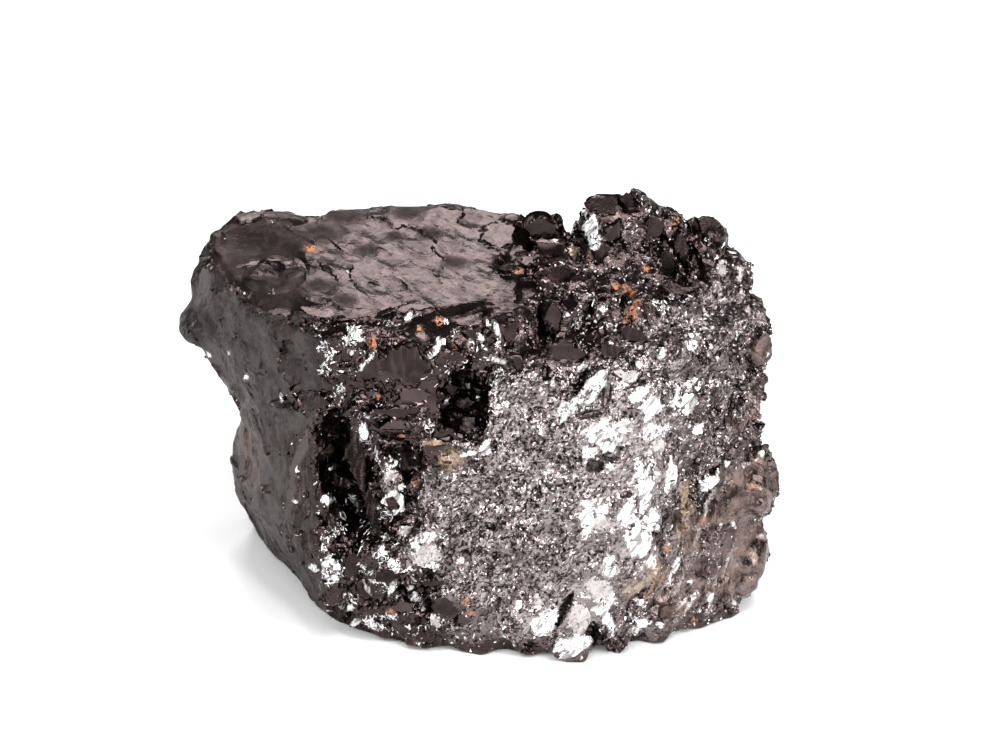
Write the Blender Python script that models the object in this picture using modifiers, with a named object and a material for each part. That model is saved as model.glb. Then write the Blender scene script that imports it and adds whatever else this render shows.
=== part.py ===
"""A natural chunk of elite shungite, the glassy, silver-black carbon rock, about 51 mm wide.

The chunk is one solid. Convex chunks with hand-picked corners and small boulders are fused into
one body, hollows and cracks are cut out of it, its skin is chipped into shallow conchoidal
scoops, and its foot is cut flat where it rests. Metres, +Z up, the broad fracture face towards
-Y, and the origin under the middle of the chunk, on the plane that it rests on.
"""

import math
from itertools import product

import bmesh
import bpy
from mathutils import Euler, Matrix, Vector, noise

MM = 0.001

# Driving dimensions, in millimetres.
TOP = 31.0  # height of the flat cleavage plane on the left
CREST = 37.2  # height of the castle-like block on the right
GRAIN = 0.5  # edge of the working grid that the chunks are fused on
TRIANGLES = 10800  # faces asked of the thinning, before the foot is cut off
CHIP_SEED = Vector((3.7, 1.9, 8.3))  # moves the pattern of chips over the stone

# Corners of the convex chunks, in millimetres.
MAIN_BLOCK = (
    (-14.2, -5.4, -1.5), (-11.8, -7.9, -1.5), (-1.7, -10.4, -1.5), (8.6, -9.8, -1.5),
    (14.0, -8.4, -1.2), (18.8, -5.9, -0.8), (20.6, -4.4, -0.6), (20.0, 5.0, 0.6), (9.0, 13.0, -1.5),
    (-10.0, 13.5, -1.5), (-21.6, 11.4, -1.5),
    (-14.6, -8.4, 8.0), (5.0, -11.8, 7.0), (21.3, -5.5, 8.0), (21.5, 6.0, 8.0),
    (8.0, 14.5, 9.0), (-14.0, 14.5, 9.0), (-21.8, 9.6, 7.5),
    (-13.4, -8.8, 20.0), (4.0, -11.4, 20.0), (20.6, -6.0, 20.0), (20.6, 7.0, 20.0),
    (8.0, 14.0, 21.0), (-14.0, 14.0, 21.0), (-20.4, 10.0, 16.0),
    (-15.4, -8.6, TOP), (-8.3, -8.4, TOP), (-2.0, -5.2, TOP), (0.4, -4.6, TOP),
    (-21.0, 11.2, TOP - 0.2), (-17.0, 10.6, TOP - 0.2), (-11.8, 12.4, TOP),
    (-3.5, 12.8, TOP + 0.2), (1.8, 11.2, TOP), (6.6, 7.0, TOP - 0.4), (17.0, 6.0, TOP - 2),
)
LEFT_OVERHANG = (
    (-15.2, -9.2, TOP - 0.6), (-19.4, -6.0, TOP - 1.4), (-21.9, -2.6, TOP - 1.7),
    (-25.3, 6.2, TOP - 0.5), (-24.3, 8.0, TOP - 0.4), (-23.0, 9.6, TOP - 0.3),
    (-21.2, 11.2, TOP - 0.2), (-21.6, 12.6, 22.0), (-14.0, 12.0, TOP - 0.4),
    (-26.4, 6.0, 27.7), (-26.9, 6.0, 25.9), (-26.0, 5.0, 22.2), (-24.6, 5.8, 18.6),
    (-22.6, 5.8, 14.2), (-25.0, 10.0, 27.0), (-21.5, 11.6, 14.0), (-19.9, -3.0, 15.0),
    (-15.4, -8.8, 19.0), (-14.0, 6.0, TOP), (-14.0, 6.0, 14.0), (-21.3, -3.0, 24.0),
)
LEFT_BULGE = (
    (-21.6, 11.6, -1.5), (-17.4, 3.1, -1.5), (-14.2, -5.2, -1.5), (-23.2, 10.2, 3.2),
    (-23.7, 8.6, 7.4), (-23.5, 8.0, 10.0), (-22.7, 6.8, 14.0), (-21.2, 1.0, 8.0),
    (-17.0, -6.4, 8.0), (-15.4, -8.6, 10.0), (-20.2, -1.4, 15.0), (-15.4, -8.8, 18.0),
    (-20.0, 12.0, 15.0), (-12.0, 8.0, -1.5), (-12.0, 8.0, 15.0), (-12.0, -4.0, -1.5),
)
BROW = (
    (-15.2, -9.6, 29.8), (-15.0, -9.6, 25.5), (-13.0, -9.4, 22.6), (-9.6, -11.0, 26.0),
    (-5.2, -11.0, 25.4), (-5.0, -10.4, 28.6), (-9.0, -9.8, TOP - 0.2), (-2.6, -9.2, 29.4),
    (-5.4, -10.6, 21.6), (-8.8, -10.9, 20.9), (-12.4, -9.9, 20.6), (-14.0, -5.0, 21.0),
    (-2.0, -5.0, 22.0), (-12.0, -5.0, TOP - 0.2), (-2.0, -5.0, TOP - 0.2),
)
SILVER_FACE = (
    (-0.8, -11.3, 26.6), (-0.9, -11.9, 20.8), (-7.2, -11.3, 19.8), (-7.6, -11.0, 13.0),
    (-4.0, -12.2, 7.0), (-3.0, -11.6, 0.5), (3.0, -13.2, 14.0), (4.0, -12.8, 4.0),
    (9.0, -12.8, 21.0), (10.5, -13.0, 13.0), (9.0, -12.0, 3.0), (3.0, -11.4, 27.2),
    (8.0, -11.4, 27.4), (14.0, -10.2, 25.0), (14.0, -10.2, 8.0), (0.0, -6.0, 2.0),
    (12.0, -6.0, 2.0), (0.0, -6.0, 27.0), (13.0, -6.0, 27.5),
)
CREST_BLOCK = (
    (1.5, -7.5, 30.0), (5.0, -9.2, 28.6), (13.0, -9.4, 27.2), (19.5, -6.6, 25.5),
    (22.0, -3.0, 24.0), (21.2, -1.0, 28.4), (19.2, 0.0, 31.4), (16.0, 0.5, 33.2),
    (8.0, -1.0, 33.2), (12.5, -1.0, 33.2), (3.0, 2.0, 31.4), (8.5, 5.5, 33.6),
    (8.5, 7.0, 32.0), (17.0, 6.5, 31.0), (20.5, 5.0, 27.0), (1.0, 8.0, 30.0),
    (2.0, -6.0, 24.0), (20.0, -4.0, 20.0), (18.0, 7.0, 22.0),
)
CASTLE = (
    (6.5, 1.8, CREST - 0.3), (7.0, 2.8, CREST + 0.3), (12.3, 2.4, CREST), (13.2, 1.6, CREST - 1.4),
    (7.3, -0.5, CREST - 3.4), (12.6, -0.7, CREST - 3.2), (7.0, 4.8, CREST - 2.6),
    (12.9, 5.0, CREST - 2.8), (6.8, -0.6, 31.0), (13.4, -0.6, 31.0), (6.8, 5.5, 31.0),
    (13.2, 5.5, 31.0),
)
RIGHT_FLANK = (
    (14.0, -9.2, 24.0), (20.6, -5.2, 23.0), (21.4, 2.0, 22.0), (20.4, -6.4, 12.0),
    (21.8, 0.0, 10.0), (12.0, -10.4, 11.0), (18.6, -6.8, 2.0), (20.9, -4.8, 1.6),
    (21.0, 3.0, 2.6), (12.0, 0.0, 2.0), (12.0, 0.0, 24.0), (12.5, -9.0, 2.0),
)
PENDANT = (
    (6.7, -12.0, 7.0), (4.6, -12.2, 2.4), (4.8, -12.9, 0.6), (5.6, -13.3, -0.8),
    (7.0, -13.1, -0.8), (8.3, -11.9, 1.0), (8.6, -12.2, 5.6), (8.0, -12.6, 7.4),
    (6.0, -9.0, -0.8), (7.0, -9.0, 7.0),
)
CHUNKS = (
    MAIN_BLOCK, LEFT_OVERHANG, LEFT_BULGE, BROW, SILVER_FACE, CREST_BLOCK, CASTLE, RIGHT_FLANK,
    PENDANT,
)

# Rounded lumps fused to the chunks: centre, half sizes, and turn about X, Y and Z in degrees.
BOULDERS = (
    # The smooth dark peak left of the castle, and the knobs right of it.
    ((3.6, 4.0, 31.6), (2.1, 2.6, 3.2), (0, 0, 20)),
    ((11.8, 2.2, CREST - 0.4), (0.8, 0.9, 0.9), (0, 0, 0)),
    ((14.6, 2.0, 33.8), (1.5, 2.0, 1.8), (0, 10, 0)),
    ((17.4, 1.8, 33.2), (1.6, 2.0, 2.0), (0, 0, 30)),
    ((19.4, 0.8, 31.0), (1.6, 2.0, 1.8), (0, 20, 0)),
    ((21.0, -0.6, 28.3), (1.5, 2.2, 1.9), (0, 10, 0)),
    # The nodule on the right edge and the bead under it.
    ((21.6, -2.2, 25.4), (1.7, 2.4, 2.0), (0, 0, 0)),
    ((21.5, -2.2, 21.4), (1.3, 2.2, 2.0), (0, 0, 0)),
    # Two lobes low on the right, and the lump under them.
    ((21.1, -1.4, 11.7), (2.8, 4.6, 3.5), (0, 0, 10)),
    ((20.9, -2.0, 4.6), (2.6, 4.4, 3.6), (0, 0, 0)),
    ((17.2, -6.0, 2.6), (2.8, 2.0, 3.2), (0, 0, 25)),
    # Small lumps along the front foot.
    ((9.9, -10.4, 3.2), (1.4, 1.7, 3.6), (0, 0, 0)),
    ((13.6, -8.8, 2.4), (2.0, 1.6, 3.2), (0, 0, 0)),
    ((2.8, -10.9, 1.6), (2.2, 1.5, 2.4), (0, 0, 0)),
    ((-2.0, -10.8, 1.8), (2.4, 1.3, 2.2), (0, 0, 0)),
    ((-6.5, -10.0, 2.2), (2.6, 1.6, 2.4), (0, 0, 0)),
    ((-10.5, -8.8, 3.2), (2.4, 1.6, 3.0), (0, 0, 0)),
    # The nub on the left, and the lump over the tall hollow.
    ((-25.9, 5.8, 23.3), (1.6, 2.6, 1.9), (0, 30, 0)),
    ((-14.5, -9.2, 22.2), (1.1, 1.3, 1.5), (0, 0, 0)),
)

# Angular blocks fused to the chunks, given as the boulders are.
BLOCKS = (
    # Between the flat top and the crest, and under the crest.
    ((0.8, -7.9, 28.8), (1.7, 1.7, 2.6), (0, 0, 0)),
    ((2.4, -9.2, 26.8), (1.9, 1.7, 1.9), (0, 0, 20)),
    ((4.8, -6.9, 29.6), (1.5, 2.0, 3.0), (0, 0, 15)),
    ((5.5, -8.9, 27.9), (1.8, 1.7, 1.7), (0, 0, 0)),
    ((7.9, -6.9, 31.0), (2.2, 1.6, 1.8), (0, 0, 0)),
    ((8.4, -9.6, 27.4), (2.2, 1.4, 1.6), (0, -30, 0)),
    ((11.8, -6.0, 30.4), (2.2, 1.8, 1.8), (0, 0, 30)),
    ((15.6, -4.4, 30.2), (2.2, 1.8, 1.8), (20, 0, 0)),
    ((14.0, -8.0, 27.4), (2.2, 1.8, 1.6), (0, 0, 0)),
    ((18.4, -4.6, 27.6), (1.9, 1.8, 1.8), (0, 0, 50)),
    ((1.6, 0.4, 31.2), (1.6, 2.2, 1.5), (0, 0, 10)),
    ((-1.6, -8.4, 28.6), (1.9, 1.5, 2.0), (0, 0, 0)),
    # Sparkling blocks under the brow and down the front left foot.
    ((-12.7, -8.9, 27.8), (2.4, 1.6, 2.7), (0, 10, 20)),
    ((-8.2, -9.9, 27.4), (2.3, 1.7, 2.9), (15, 0, -10)),
    ((-4.6, -9.7, 27.8), (1.8, 1.6, 2.2), (0, 20, 0)),
    ((-11.4, -10.0, 23.0), (2.1, 1.5, 2.0), (0, 0, 30)),
    ((-7.6, -10.6, 22.8), (2.2, 1.5, 2.0), (-15, 0, 0)),
    ((-9.4, -10.4, 16.4), (1.0, 1.4, 3.8), (0, 0, 0)),
    ((-13.4, -8.9, 7.0), (2.1, 1.8, 2.9), (0, 0, 20)),
    ((-9.8, -9.9, 8.6), (2.2, 1.7, 2.6), (0, 0, 0)),
    ((-6.4, -10.9, 9.2), (2.0, 1.6, 2.6), (0, 20, 0)),
    ((-9.2, -9.8, 4.8), (2.3, 1.6, 2.0), (0, 0, 0)),
    ((-4.2, -11.2, 4.2), (2.0, 1.4, 2.2), (0, 0, 0)),
    ((2.6, -11.9, 4.0), (1.6, 1.5, 2.4), (0, 0, 0)),
)

# Rounded hollows and cracks cut into the chunk, given as the boulders are.
HOLLOWS = (
    # The tall, lens-shaped hollow on the front left edge, and the slot beside it.
    ((-13.1, -10.6, 15.9), (1.9, 4.4, 7.0), (0, -8, -25)),
    ((-8.0, -11.4, 17.4), (0.55, 2.4, 3.0), (0, 0, 0)),
    # Gaps between the peaks of the crest.
    ((5.9, 4.6, 35.7), (1.0, 9.0, 4.2), (0, 0, 0)),
    ((13.4, 1.0, 37.0), (0.6, 4.0, 1.6), (0, 0, 0)),
    ((16.0, 1.4, 35.2), (0.5, 4.0, 1.4), (0, 0, 0)),
    # Cracks between the blocks under the crest, and the dark furrow under the castle.
    ((3.4, -8.6, 30.2), (0.55, 2.4, 3.2), (0, 8, 0)),
    ((7.0, -8.2, 30.0), (0.5, 1.8, 1.8), (0, 0, 0)),
    ((11.5, -2.8, 33.0), (5.0, 1.4, 0.8), (0, 6, 0)),
    ((6.9, -11.2, 25.8), (0.6, 1.6, 2.4), (0, 24, 0)),
    # Scoops in the flat top and the right edge.
    ((-20.4, 3.0, 40.6), (7.0, 12.0, 11.2), (0, 0, 12)),
    ((23.4, -2.4, 16.4), (1.4, 4.4, 1.8), (0, 0, 0)),
    ((24.4, -1.6, 8.2), (1.6, 3.2, 0.9), (0, 0, 0)),
    # Broad conchoidal scoops broken out of the back.
    ((-9.0, 22.0, 11.0), (12.0, 10.4, 13.0), (0, 30, 0)),
    ((9.0, 19.0, 20.0), (11.0, 8.4, 8.0), (0, 30, -25)),
    # The groove left of the pendant, and the little hollow right of it.
    ((5.0, -13.0, 4.4), (0.5, 1.9, 3.2), (0, 20, 0)),
    ((8.5, -12.6, 1.9), (0.7, 2.0, 1.4), (0, 0, 0)),
)

# Corners of the square notch under the brow, beside the broad face, in millimetres.
NOTCH = (
    (-5.6, -14.0, 25.6), (-1.3, -14.0, 26.4), (-0.9, -14.0, 20.2), (-5.0, -14.0, 20.4),
    (-4.8, -7.4, 24.8), (-1.8, -7.2, 25.0), (-1.5, -7.4, 21.6), (-4.4, -7.6, 21.6),
)


def work_collection(name, hidden=False):
    """A collection for the stone, or for the shapes that only cut it."""
    made = bpy.data.collections.new(name)
    bpy.context.scene.collection.children.link(made)
    made.hide_render = hidden
    return made


def clear_scene():
    for obj in list(bpy.data.objects):
        bpy.data.objects.remove(obj)


def add_chunk(bm, corners):
    """The convex hull of a few corners given in millimetres."""
    points = [bm.verts.new(Vector(corner) * MM) for corner in corners]
    hull = bmesh.ops.convex_hull(bm, input=points)
    inside = {item for item in hull["geom_interior"] + hull["geom_unused"]
              if isinstance(item, bmesh.types.BMVert)}
    bmesh.ops.delete(bm, geom=list(inside), context="VERTS")


def add_boulder(bm, centre, half_sizes, turn):
    """A knobbly ball, stretched to its half sizes and turned about its centre."""
    place = Matrix.Translation(Vector(centre) * MM) @ Euler(map(math.radians, turn)).to_matrix().to_4x4()
    stretch = Matrix.Diagonal((*(Vector(half_sizes) * MM), 1.0))
    ball = bmesh.ops.create_icosphere(bm, subdivisions=3, radius=1.0)["verts"]
    for vert in ball:
        vert.co *= 1 + 0.12 * noise.noise(vert.co * 1.7 + Vector(centre))
    bmesh.ops.transform(bm, matrix=place @ stretch, verts=ball)


def random_tilt(spot):
    """A seeded vector with each part between -1 and 1, one for each unit cell of space."""
    return noise.cell_vector(spot) * 2 - Vector((1, 1, 1))


def add_block(bm, centre, half_sizes, turn):
    """An angular block: the hull of a few seeded points near the corners of a box."""
    place = Matrix.Translation(Vector(centre) * MM) @ Euler(map(math.radians, turn)).to_matrix().to_4x4()
    stretch = Matrix.Diagonal((*(Vector(half_sizes) * MM), 1.0))
    corners = []
    for corner in product((-0.8, 0.8), repeat=3):
        spot = Vector(corner)
        corners.append(place @ stretch @ (spot + 0.25 * random_tilt(spot + Vector(centre) * 3)))
    add_chunk(bm, [corner / MM for corner in corners])


def object_from(bm, name, collection):
    mesh = bpy.data.meshes.new(name)
    bmesh.ops.recalc_face_normals(bm, faces=bm.faces)
    bm.to_mesh(mesh)
    bm.free()
    made = bpy.data.objects.new(name, mesh)
    collection.objects.link(made)
    return made


def chunks_and_boulders(collection):
    """Every chunk and boulder in one mesh, still overlapping."""
    bm = bmesh.new()
    for corners in CHUNKS:
        add_chunk(bm, corners)
    for boulder in BOULDERS:
        add_boulder(bm, *boulder)
    for block in BLOCKS:
        add_block(bm, *block)
    return object_from(bm, "shungite_stone", collection)


def hollow_cutters(collection):
    """One wire object for each hollow, and one for the notch."""
    meshes = []
    for hollow in HOLLOWS:
        meshes.append(bmesh.new())
        add_boulder(meshes[-1], *hollow)
    meshes.append(bmesh.new())
    add_chunk(meshes[-1], NOTCH)
    cutters = [object_from(bm, f"hollow_{number:02d}", collection) for number, bm in enumerate(meshes)]
    for cutter in cutters:
        cutter.hide_render = True
        cutter.display_type = "WIRE"
    return cutters


def fuse(stone):
    """Joins what overlaps into one skin on a fine grid."""
    modifier = stone.modifiers.new("fuse", "REMESH")
    modifier.mode = "VOXEL"
    modifier.voxel_size = GRAIN * MM


def apply_modifiers(stone):
    """Keeps the mesh that the modifiers make, and drops the modifiers."""
    graph = bpy.context.evaluated_depsgraph_get()
    made = bpy.data.meshes.new_from_object(stone.evaluated_get(graph))
    stone.modifiers.clear()
    old, stone.data = stone.data, made
    bpy.data.meshes.remove(old)


def cut_hollows(stone, collection):
    for cutter in hollow_cutters(collection):
        modifier = stone.modifiers.new(cutter.name, "BOOLEAN")
        modifier.operation = "DIFFERENCE"
        modifier.object = cutter


def scoops(point, size):
    """Height of a skin of conchoidal scoops: bowls of one size, tilted at random, that meet in ridges."""
    place = point / (size * MM) + CHIP_SEED
    distances, centres = noise.voronoi(place)
    heights = []
    for distance, centre in zip(distances, centres):
        tilt = random_tilt(centre * 7)
        heights.append(distance * distance + 0.6 * tilt.dot(place - centre) + 0.2 * tilt.z)
    return min(heights) - 0.3


def calm(point, normal):
    """0 where the stone broke along a smooth plane, on its flat top and left wall, and 1 elsewhere."""
    right_of_top = (point.x / MM + 1.0) / 6.0
    flat_top = max(0.0, min(1.0, (normal.z - 0.75) * 8)) * max(0.0, min(1.0, 1 - right_of_top))
    left_wall = max(0.0, min(1.0, (-normal.x - 0.45) * 4)) * max(0.0, min(1.0, -point.x / MM - 14.0))
    return 1 - max(flat_top, left_wall)


def chip_height(point, normal):
    """How far one spot of the skin moves out: deep scoops on rough faces, faint ones on smooth ones."""
    rough = calm(point, normal)
    unseen_back = max(0.0, min(1.0, normal.y * 2 - 0.4))
    large = (0.15 + 0.5 * rough + 0.8 * unseen_back) * scoops(point, 4.6)
    small = (0.04 + 0.46 * rough) * scoops(point, 2.2)
    return (large + small) * MM


def chip(stone):
    """Breaks the skin of the stone into large and small conchoidal scoops."""
    mesh = stone.data
    moved = [vert.co + vert.normal * chip_height(vert.co, vert.normal) for vert in mesh.vertices]
    for vert, place in zip(mesh.vertices, moved):
        vert.co = place


def thin_out(stone):
    """Keeps the ridges and drops most of the grid's faces."""
    count = 2 * len(stone.data.polygons)
    modifier = stone.modifiers.new("thin_out", "DECIMATE")
    modifier.ratio = TRIANGLES / count


def rest_flat(stone):
    """Cuts the foot off level at z = 0 and closes the cut."""
    bm = bmesh.new()
    bm.from_mesh(stone.data)
    everything = bm.verts[:] + bm.edges[:] + bm.faces[:]
    cut = bmesh.ops.bisect_plane(
        bm, geom=everything, plane_co=(0, 0, 0), plane_no=(0, 0, 1), clear_inner=True, dist=1e-6
    )
    rim = [item for item in cut["geom_cut"] if isinstance(item, bmesh.types.BMEdge)]
    bmesh.ops.holes_fill(bm, edges=rim, sides=0)
    bmesh.ops.triangulate(bm, faces=bm.faces)
    bmesh.ops.recalc_face_normals(bm, faces=bm.faces)
    bm.to_mesh(stone.data)
    bm.free()


def centre_on_footprint(stone):
    """Puts the origin under the middle of the stone."""
    xs = [vert.co.x for vert in stone.data.vertices]
    ys = [vert.co.y for vert in stone.data.vertices]
    middle = Vector(((min(xs) + max(xs)) / 2, (min(ys) + max(ys)) / 2, 0))
    stone.data.transform(Matrix.Translation(-middle))


def shungite_material():
    made = bpy.data.materials.new("silver_black_shungite")
    made.use_nodes = True
    shader = made.node_tree.nodes["Principled BSDF"]
    shader.inputs["Base Color"].default_value = (0.085, 0.077, 0.076, 1)
    shader.inputs["Roughness"].default_value = 0.32
    shader.inputs["Metallic"].default_value = 0.85
    return made


def build():
    clear_scene()
    stone_parts = work_collection("elite_shungite")
    cutters = work_collection("cutters", hidden=True)
    stone = chunks_and_boulders(stone_parts)
    fuse(stone)
    apply_modifiers(stone)
    cut_hollows(stone, cutters)
    fuse(stone)
    apply_modifiers(stone)
    chip(stone)
    thin_out(stone)
    apply_modifiers(stone)
    rest_flat(stone)
    centre_on_footprint(stone)
    stone.data.materials.append(shungite_material())


build()
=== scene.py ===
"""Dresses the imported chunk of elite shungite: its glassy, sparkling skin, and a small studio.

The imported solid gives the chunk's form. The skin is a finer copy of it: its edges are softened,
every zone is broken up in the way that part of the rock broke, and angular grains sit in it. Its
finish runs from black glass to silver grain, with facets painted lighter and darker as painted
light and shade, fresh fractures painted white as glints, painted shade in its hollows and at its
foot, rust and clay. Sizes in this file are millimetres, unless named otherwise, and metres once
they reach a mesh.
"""

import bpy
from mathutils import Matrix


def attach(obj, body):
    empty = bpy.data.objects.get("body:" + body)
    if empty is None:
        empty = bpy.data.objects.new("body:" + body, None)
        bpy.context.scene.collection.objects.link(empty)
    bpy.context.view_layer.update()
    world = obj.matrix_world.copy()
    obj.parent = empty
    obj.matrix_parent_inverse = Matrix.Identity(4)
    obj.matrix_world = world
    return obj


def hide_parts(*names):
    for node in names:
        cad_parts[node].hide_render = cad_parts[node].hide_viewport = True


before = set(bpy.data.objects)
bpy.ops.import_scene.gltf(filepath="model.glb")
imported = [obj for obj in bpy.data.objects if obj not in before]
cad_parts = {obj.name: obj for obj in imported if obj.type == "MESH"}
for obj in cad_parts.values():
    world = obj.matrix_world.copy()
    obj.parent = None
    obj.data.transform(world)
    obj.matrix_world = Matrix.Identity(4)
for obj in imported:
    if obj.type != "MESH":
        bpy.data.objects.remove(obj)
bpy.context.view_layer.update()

import math
import random

import bmesh
import bpy
import numpy as np
from bpy.props import FloatProperty, FloatVectorProperty, IntProperty, PointerProperty
from mathutils import Matrix, Vector, noise
from mathutils.bvhtree import BVHTree

bl_info = {
    "name": "Elite shungite chunk",
    "version": (1, 0, 0),
    "blender": (4, 5, 0),
    "location": "3D View > Sidebar > Shungite",
    "description": "Dresses a packed chunk of elite shungite with its fractured, sparkling skin",
    "category": "Object",
}

MM = 0.001
NODE = "shungite_stone"

# The camera's image, in pixels. Places on the stone are named by their column and row in it.
IMAGE_WIDTH = 1000
IMAGE_HEIGHT = 750
SENSOR_WIDTH = 36.0

# Where the chunk's own working origin lies in the frame.
SHIFT = Vector((1.634, -0.832, 0.0))

# Each spot below is a column and a row of the image and a radius on the stone.
# The granular, silvery face.
SILVER_SPOTS = {
    "face_left": (470, 520, 5.0),
    "face_left_high": (520, 440, 4.6),
    "face_left_low": (480, 580, 3.4),
    "face_middle": (560, 500, 5.6),
    "face_middle_high": (580, 430, 5.0),
    "face_middle_low": (560, 580, 4.4),
    "face_right": (640, 480, 5.2),
    "face_right_high": (660, 410, 4.6),
    "face_right_low": (620, 570, 4.0),
    "face_top_left": (520, 390, 2.0),
    "face_top": (610, 385, 2.2),
    "beside_notch": (500, 410, 1.8),
    "foot_middle": (520, 625, 2.4),
    "foot_pendant": (580, 620, 3.6),
    "left_of_slit": (400, 480, 1.6),
    "hollow_foot": (425, 545, 2.4),
}
# Darker grain on the upper right and the right flank.
GREY_SPOTS = {
    "shoulder": (700, 360, 4.6),
    "shoulder_right": (735, 320, 3.4),
    "shoulder_high": (715, 285, 1.4),
    "shoulder_left": (650, 350, 2.6),
    "waist": (735, 400, 3.4),
    "flank": (700, 470, 4.0),
    "flank_low": (690, 550, 4.0),
    "flank_foot": (660, 600, 3.4),
    "flank_right": (720, 580, 3.0),
    "foot_left": (468, 626, 1.8),
    "foot_middle": (512, 632, 1.8),
    "fringe": (642, 618, 2.2),
    "fringe_far": (722, 605, 1.6),
}
# Smooth dark facets that stayed whole.
CALM_SPOTS = {
    "brow_panel": (408, 358, 2.3),
    "brow_panel_right": (428, 362, 1.6),
    "brow_panel_low": (408, 406, 1.4),
    "brow_panel_low_right": (430, 398, 1.8),
    "brow_lip": (390, 432, 1.3),
    "brow_right": (508, 330, 1.3),
    "tall_panel": (554, 310, 1.1),
    "tall_panel_low": (555, 332, 1.1),
    "wedge": (564, 354, 1.4),
    "crest_panel": (601, 292, 1.2),
    "peak": (528, 228, 2.3),
    "peak_right": (547, 230, 2.0),
    "castle_cap": (600, 208, 1.9),
    "castle_wall": (587, 234, 1.5),
    "knob": (705, 228, 1.2),
    "foot_panel": (447, 607, 1.3),
    "scoop": (250, 240, 2.6),
    "scoop_right": (280, 245, 2.2),
    "wall_facet": (206, 275, 2.0),
    "upper_lobe": (762, 484, 3.8),
    "lower_lobe": (757, 564, 3.8),
    "pendant": (572, 640, 1.7),
    "pendant_high": (585, 612, 1.2),
    "nodule": (760, 350, 1.2),
    "left_wall_low": (262, 470, 2.6),
}
# Forms that are rounded off before the skin is broken up.
ROUNDED_SPOTS = {
    "upper_lobe": (762, 480, 3.8),
    "lower_lobe": (752, 562, 4.2),
    "nodule": (760, 348, 1.8),
    "peak": (540, 228, 2.6),
    "castle": (600, 206, 2.4),
    "knob": (706, 226, 1.8),
}
# Crumbled fresh fractures, painted white as glints.
FRESH_GLINT_SPOTS = {
    "streak_foot": (566, 412, 0.7),
    "patch_a_right": (612, 432, 1.2),
    "patch_c_left": (640, 396, 0.8),
    "patch_c_right": (666, 424, 0.8),
    "patch_d_left": (676, 398, 0.8),
    "patch_d_high": (694, 384, 0.8),
    "patch_e": (645, 476, 1.0),
    "patch_g": (640, 528, 1.6),
    "patch_g_low": (650, 560, 1.0),
    "patch_h": (594, 508, 1.2),
    "patch_h_low": (596, 532, 0.9),
    "patch_j": (548, 622, 1.3),
    "pendant_right": (606, 604, 1.1),
    "pendant_high": (586, 604, 1.0),
    "slit_flake": (398, 512, 0.7),
    "slit_flake_high": (388, 466, 0.6),
    "hollow_patch": (418, 545, 1.1),
    "under_notch": (490, 436, 0.7),
    "beside_notch": (506, 402, 0.6),
    "shoulder_left": (690, 340, 0.5),
    "flank_high": (706, 480, 0.5),
}
# Grain between the fresh fractures, with a faint painted glint and calmer facets.
PALE_SPOTS = {
    "upper": (665, 410, 3.6),
    "upper_left": (612, 440, 3.0),
    "middle": (645, 480, 3.6),
    "lower": (635, 530, 3.8),
    "lower_left": (592, 520, 2.2),
    "foot": (600, 590, 3.6),
    "foot_left": (545, 620, 1.9),
}
# Where slivers painted white as glints cluster in the rubble.
GLINT_SPOTS = {
    "brow_corner": (325, 345, 1.3),
    "brow_rim": (345, 330, 1.6),
    "brow_rim_right": (395, 325, 1.2),
    "brow_foot": (372, 394, 1.6),
    "brow_end": (435, 415, 1.2),
    "brow_gap": (492, 345, 1.4),
    "brow_gap_low": (500, 372, 1.2),
    "beside_cavity": (390, 470, 1.8),
    "beside_cavity_low": (385, 525, 2.2),
    "cavity_foot": (345, 530, 1.6),
    "low_left": (335, 560, 2.2),
    "low_left_foot": (345, 600, 2.2),
    "low_middle": (375, 575, 2.4),
    "low_foot": (385, 612, 2.6),
    "low_right": (430, 590, 2.2),
    "castle": (640, 212, 0.9),
    "crest_left": (580, 325, 1.2),
    "shoulder": (670, 305, 1.6),
    "low_left_foot_right": (375, 622, 1.6),
    "low_left_edge": (350, 618, 1.4),
    "brow_top_right": (450, 322, 1.8),
    "brow_top_middle": (420, 322, 1.6),
    "flank_foot": (700, 600, 2.0),
    "brow_left": (318, 352, 1.6),
    "brow_shelf": (350, 388, 1.4),
    "notch_left": (440, 410, 0.8),
    "notch_right": (484, 396, 0.7),
    "notch_top": (458, 372, 0.9),
    "shoulder_edge": (728, 330, 1.8),
    "shoulder_low": (712, 392, 1.6),
    "flank_high": (730, 450, 1.4),
    "flank_middle": (705, 520, 1.6),
}
# Facets that turn away from the light.
SHADED_SPOTS = {
    "scoop": (255, 240, 3.2),
    "scoop_right": (285, 243, 2.6),
    "scoop_low": (240, 268, 2.4),
    "scoop_foot": (275, 285, 2.2),
    "top_left": (322, 232, 1.8),
    "top_left_back": (345, 216, 1.6),
    "top_back": (408, 212, 1.4),
    "top_patch": (430, 232, 1.0),
    "top_patch_right": (455, 262, 1.1),
    "top_patch_left": (366, 250, 1.0),
    "top_front": (345, 300, 1.0),
    "scoop_low_right": (286, 300, 2.0),
    "top_left_front": (318, 286, 1.2),
    "top_middle_back": (395, 236, 0.9),
}
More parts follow.
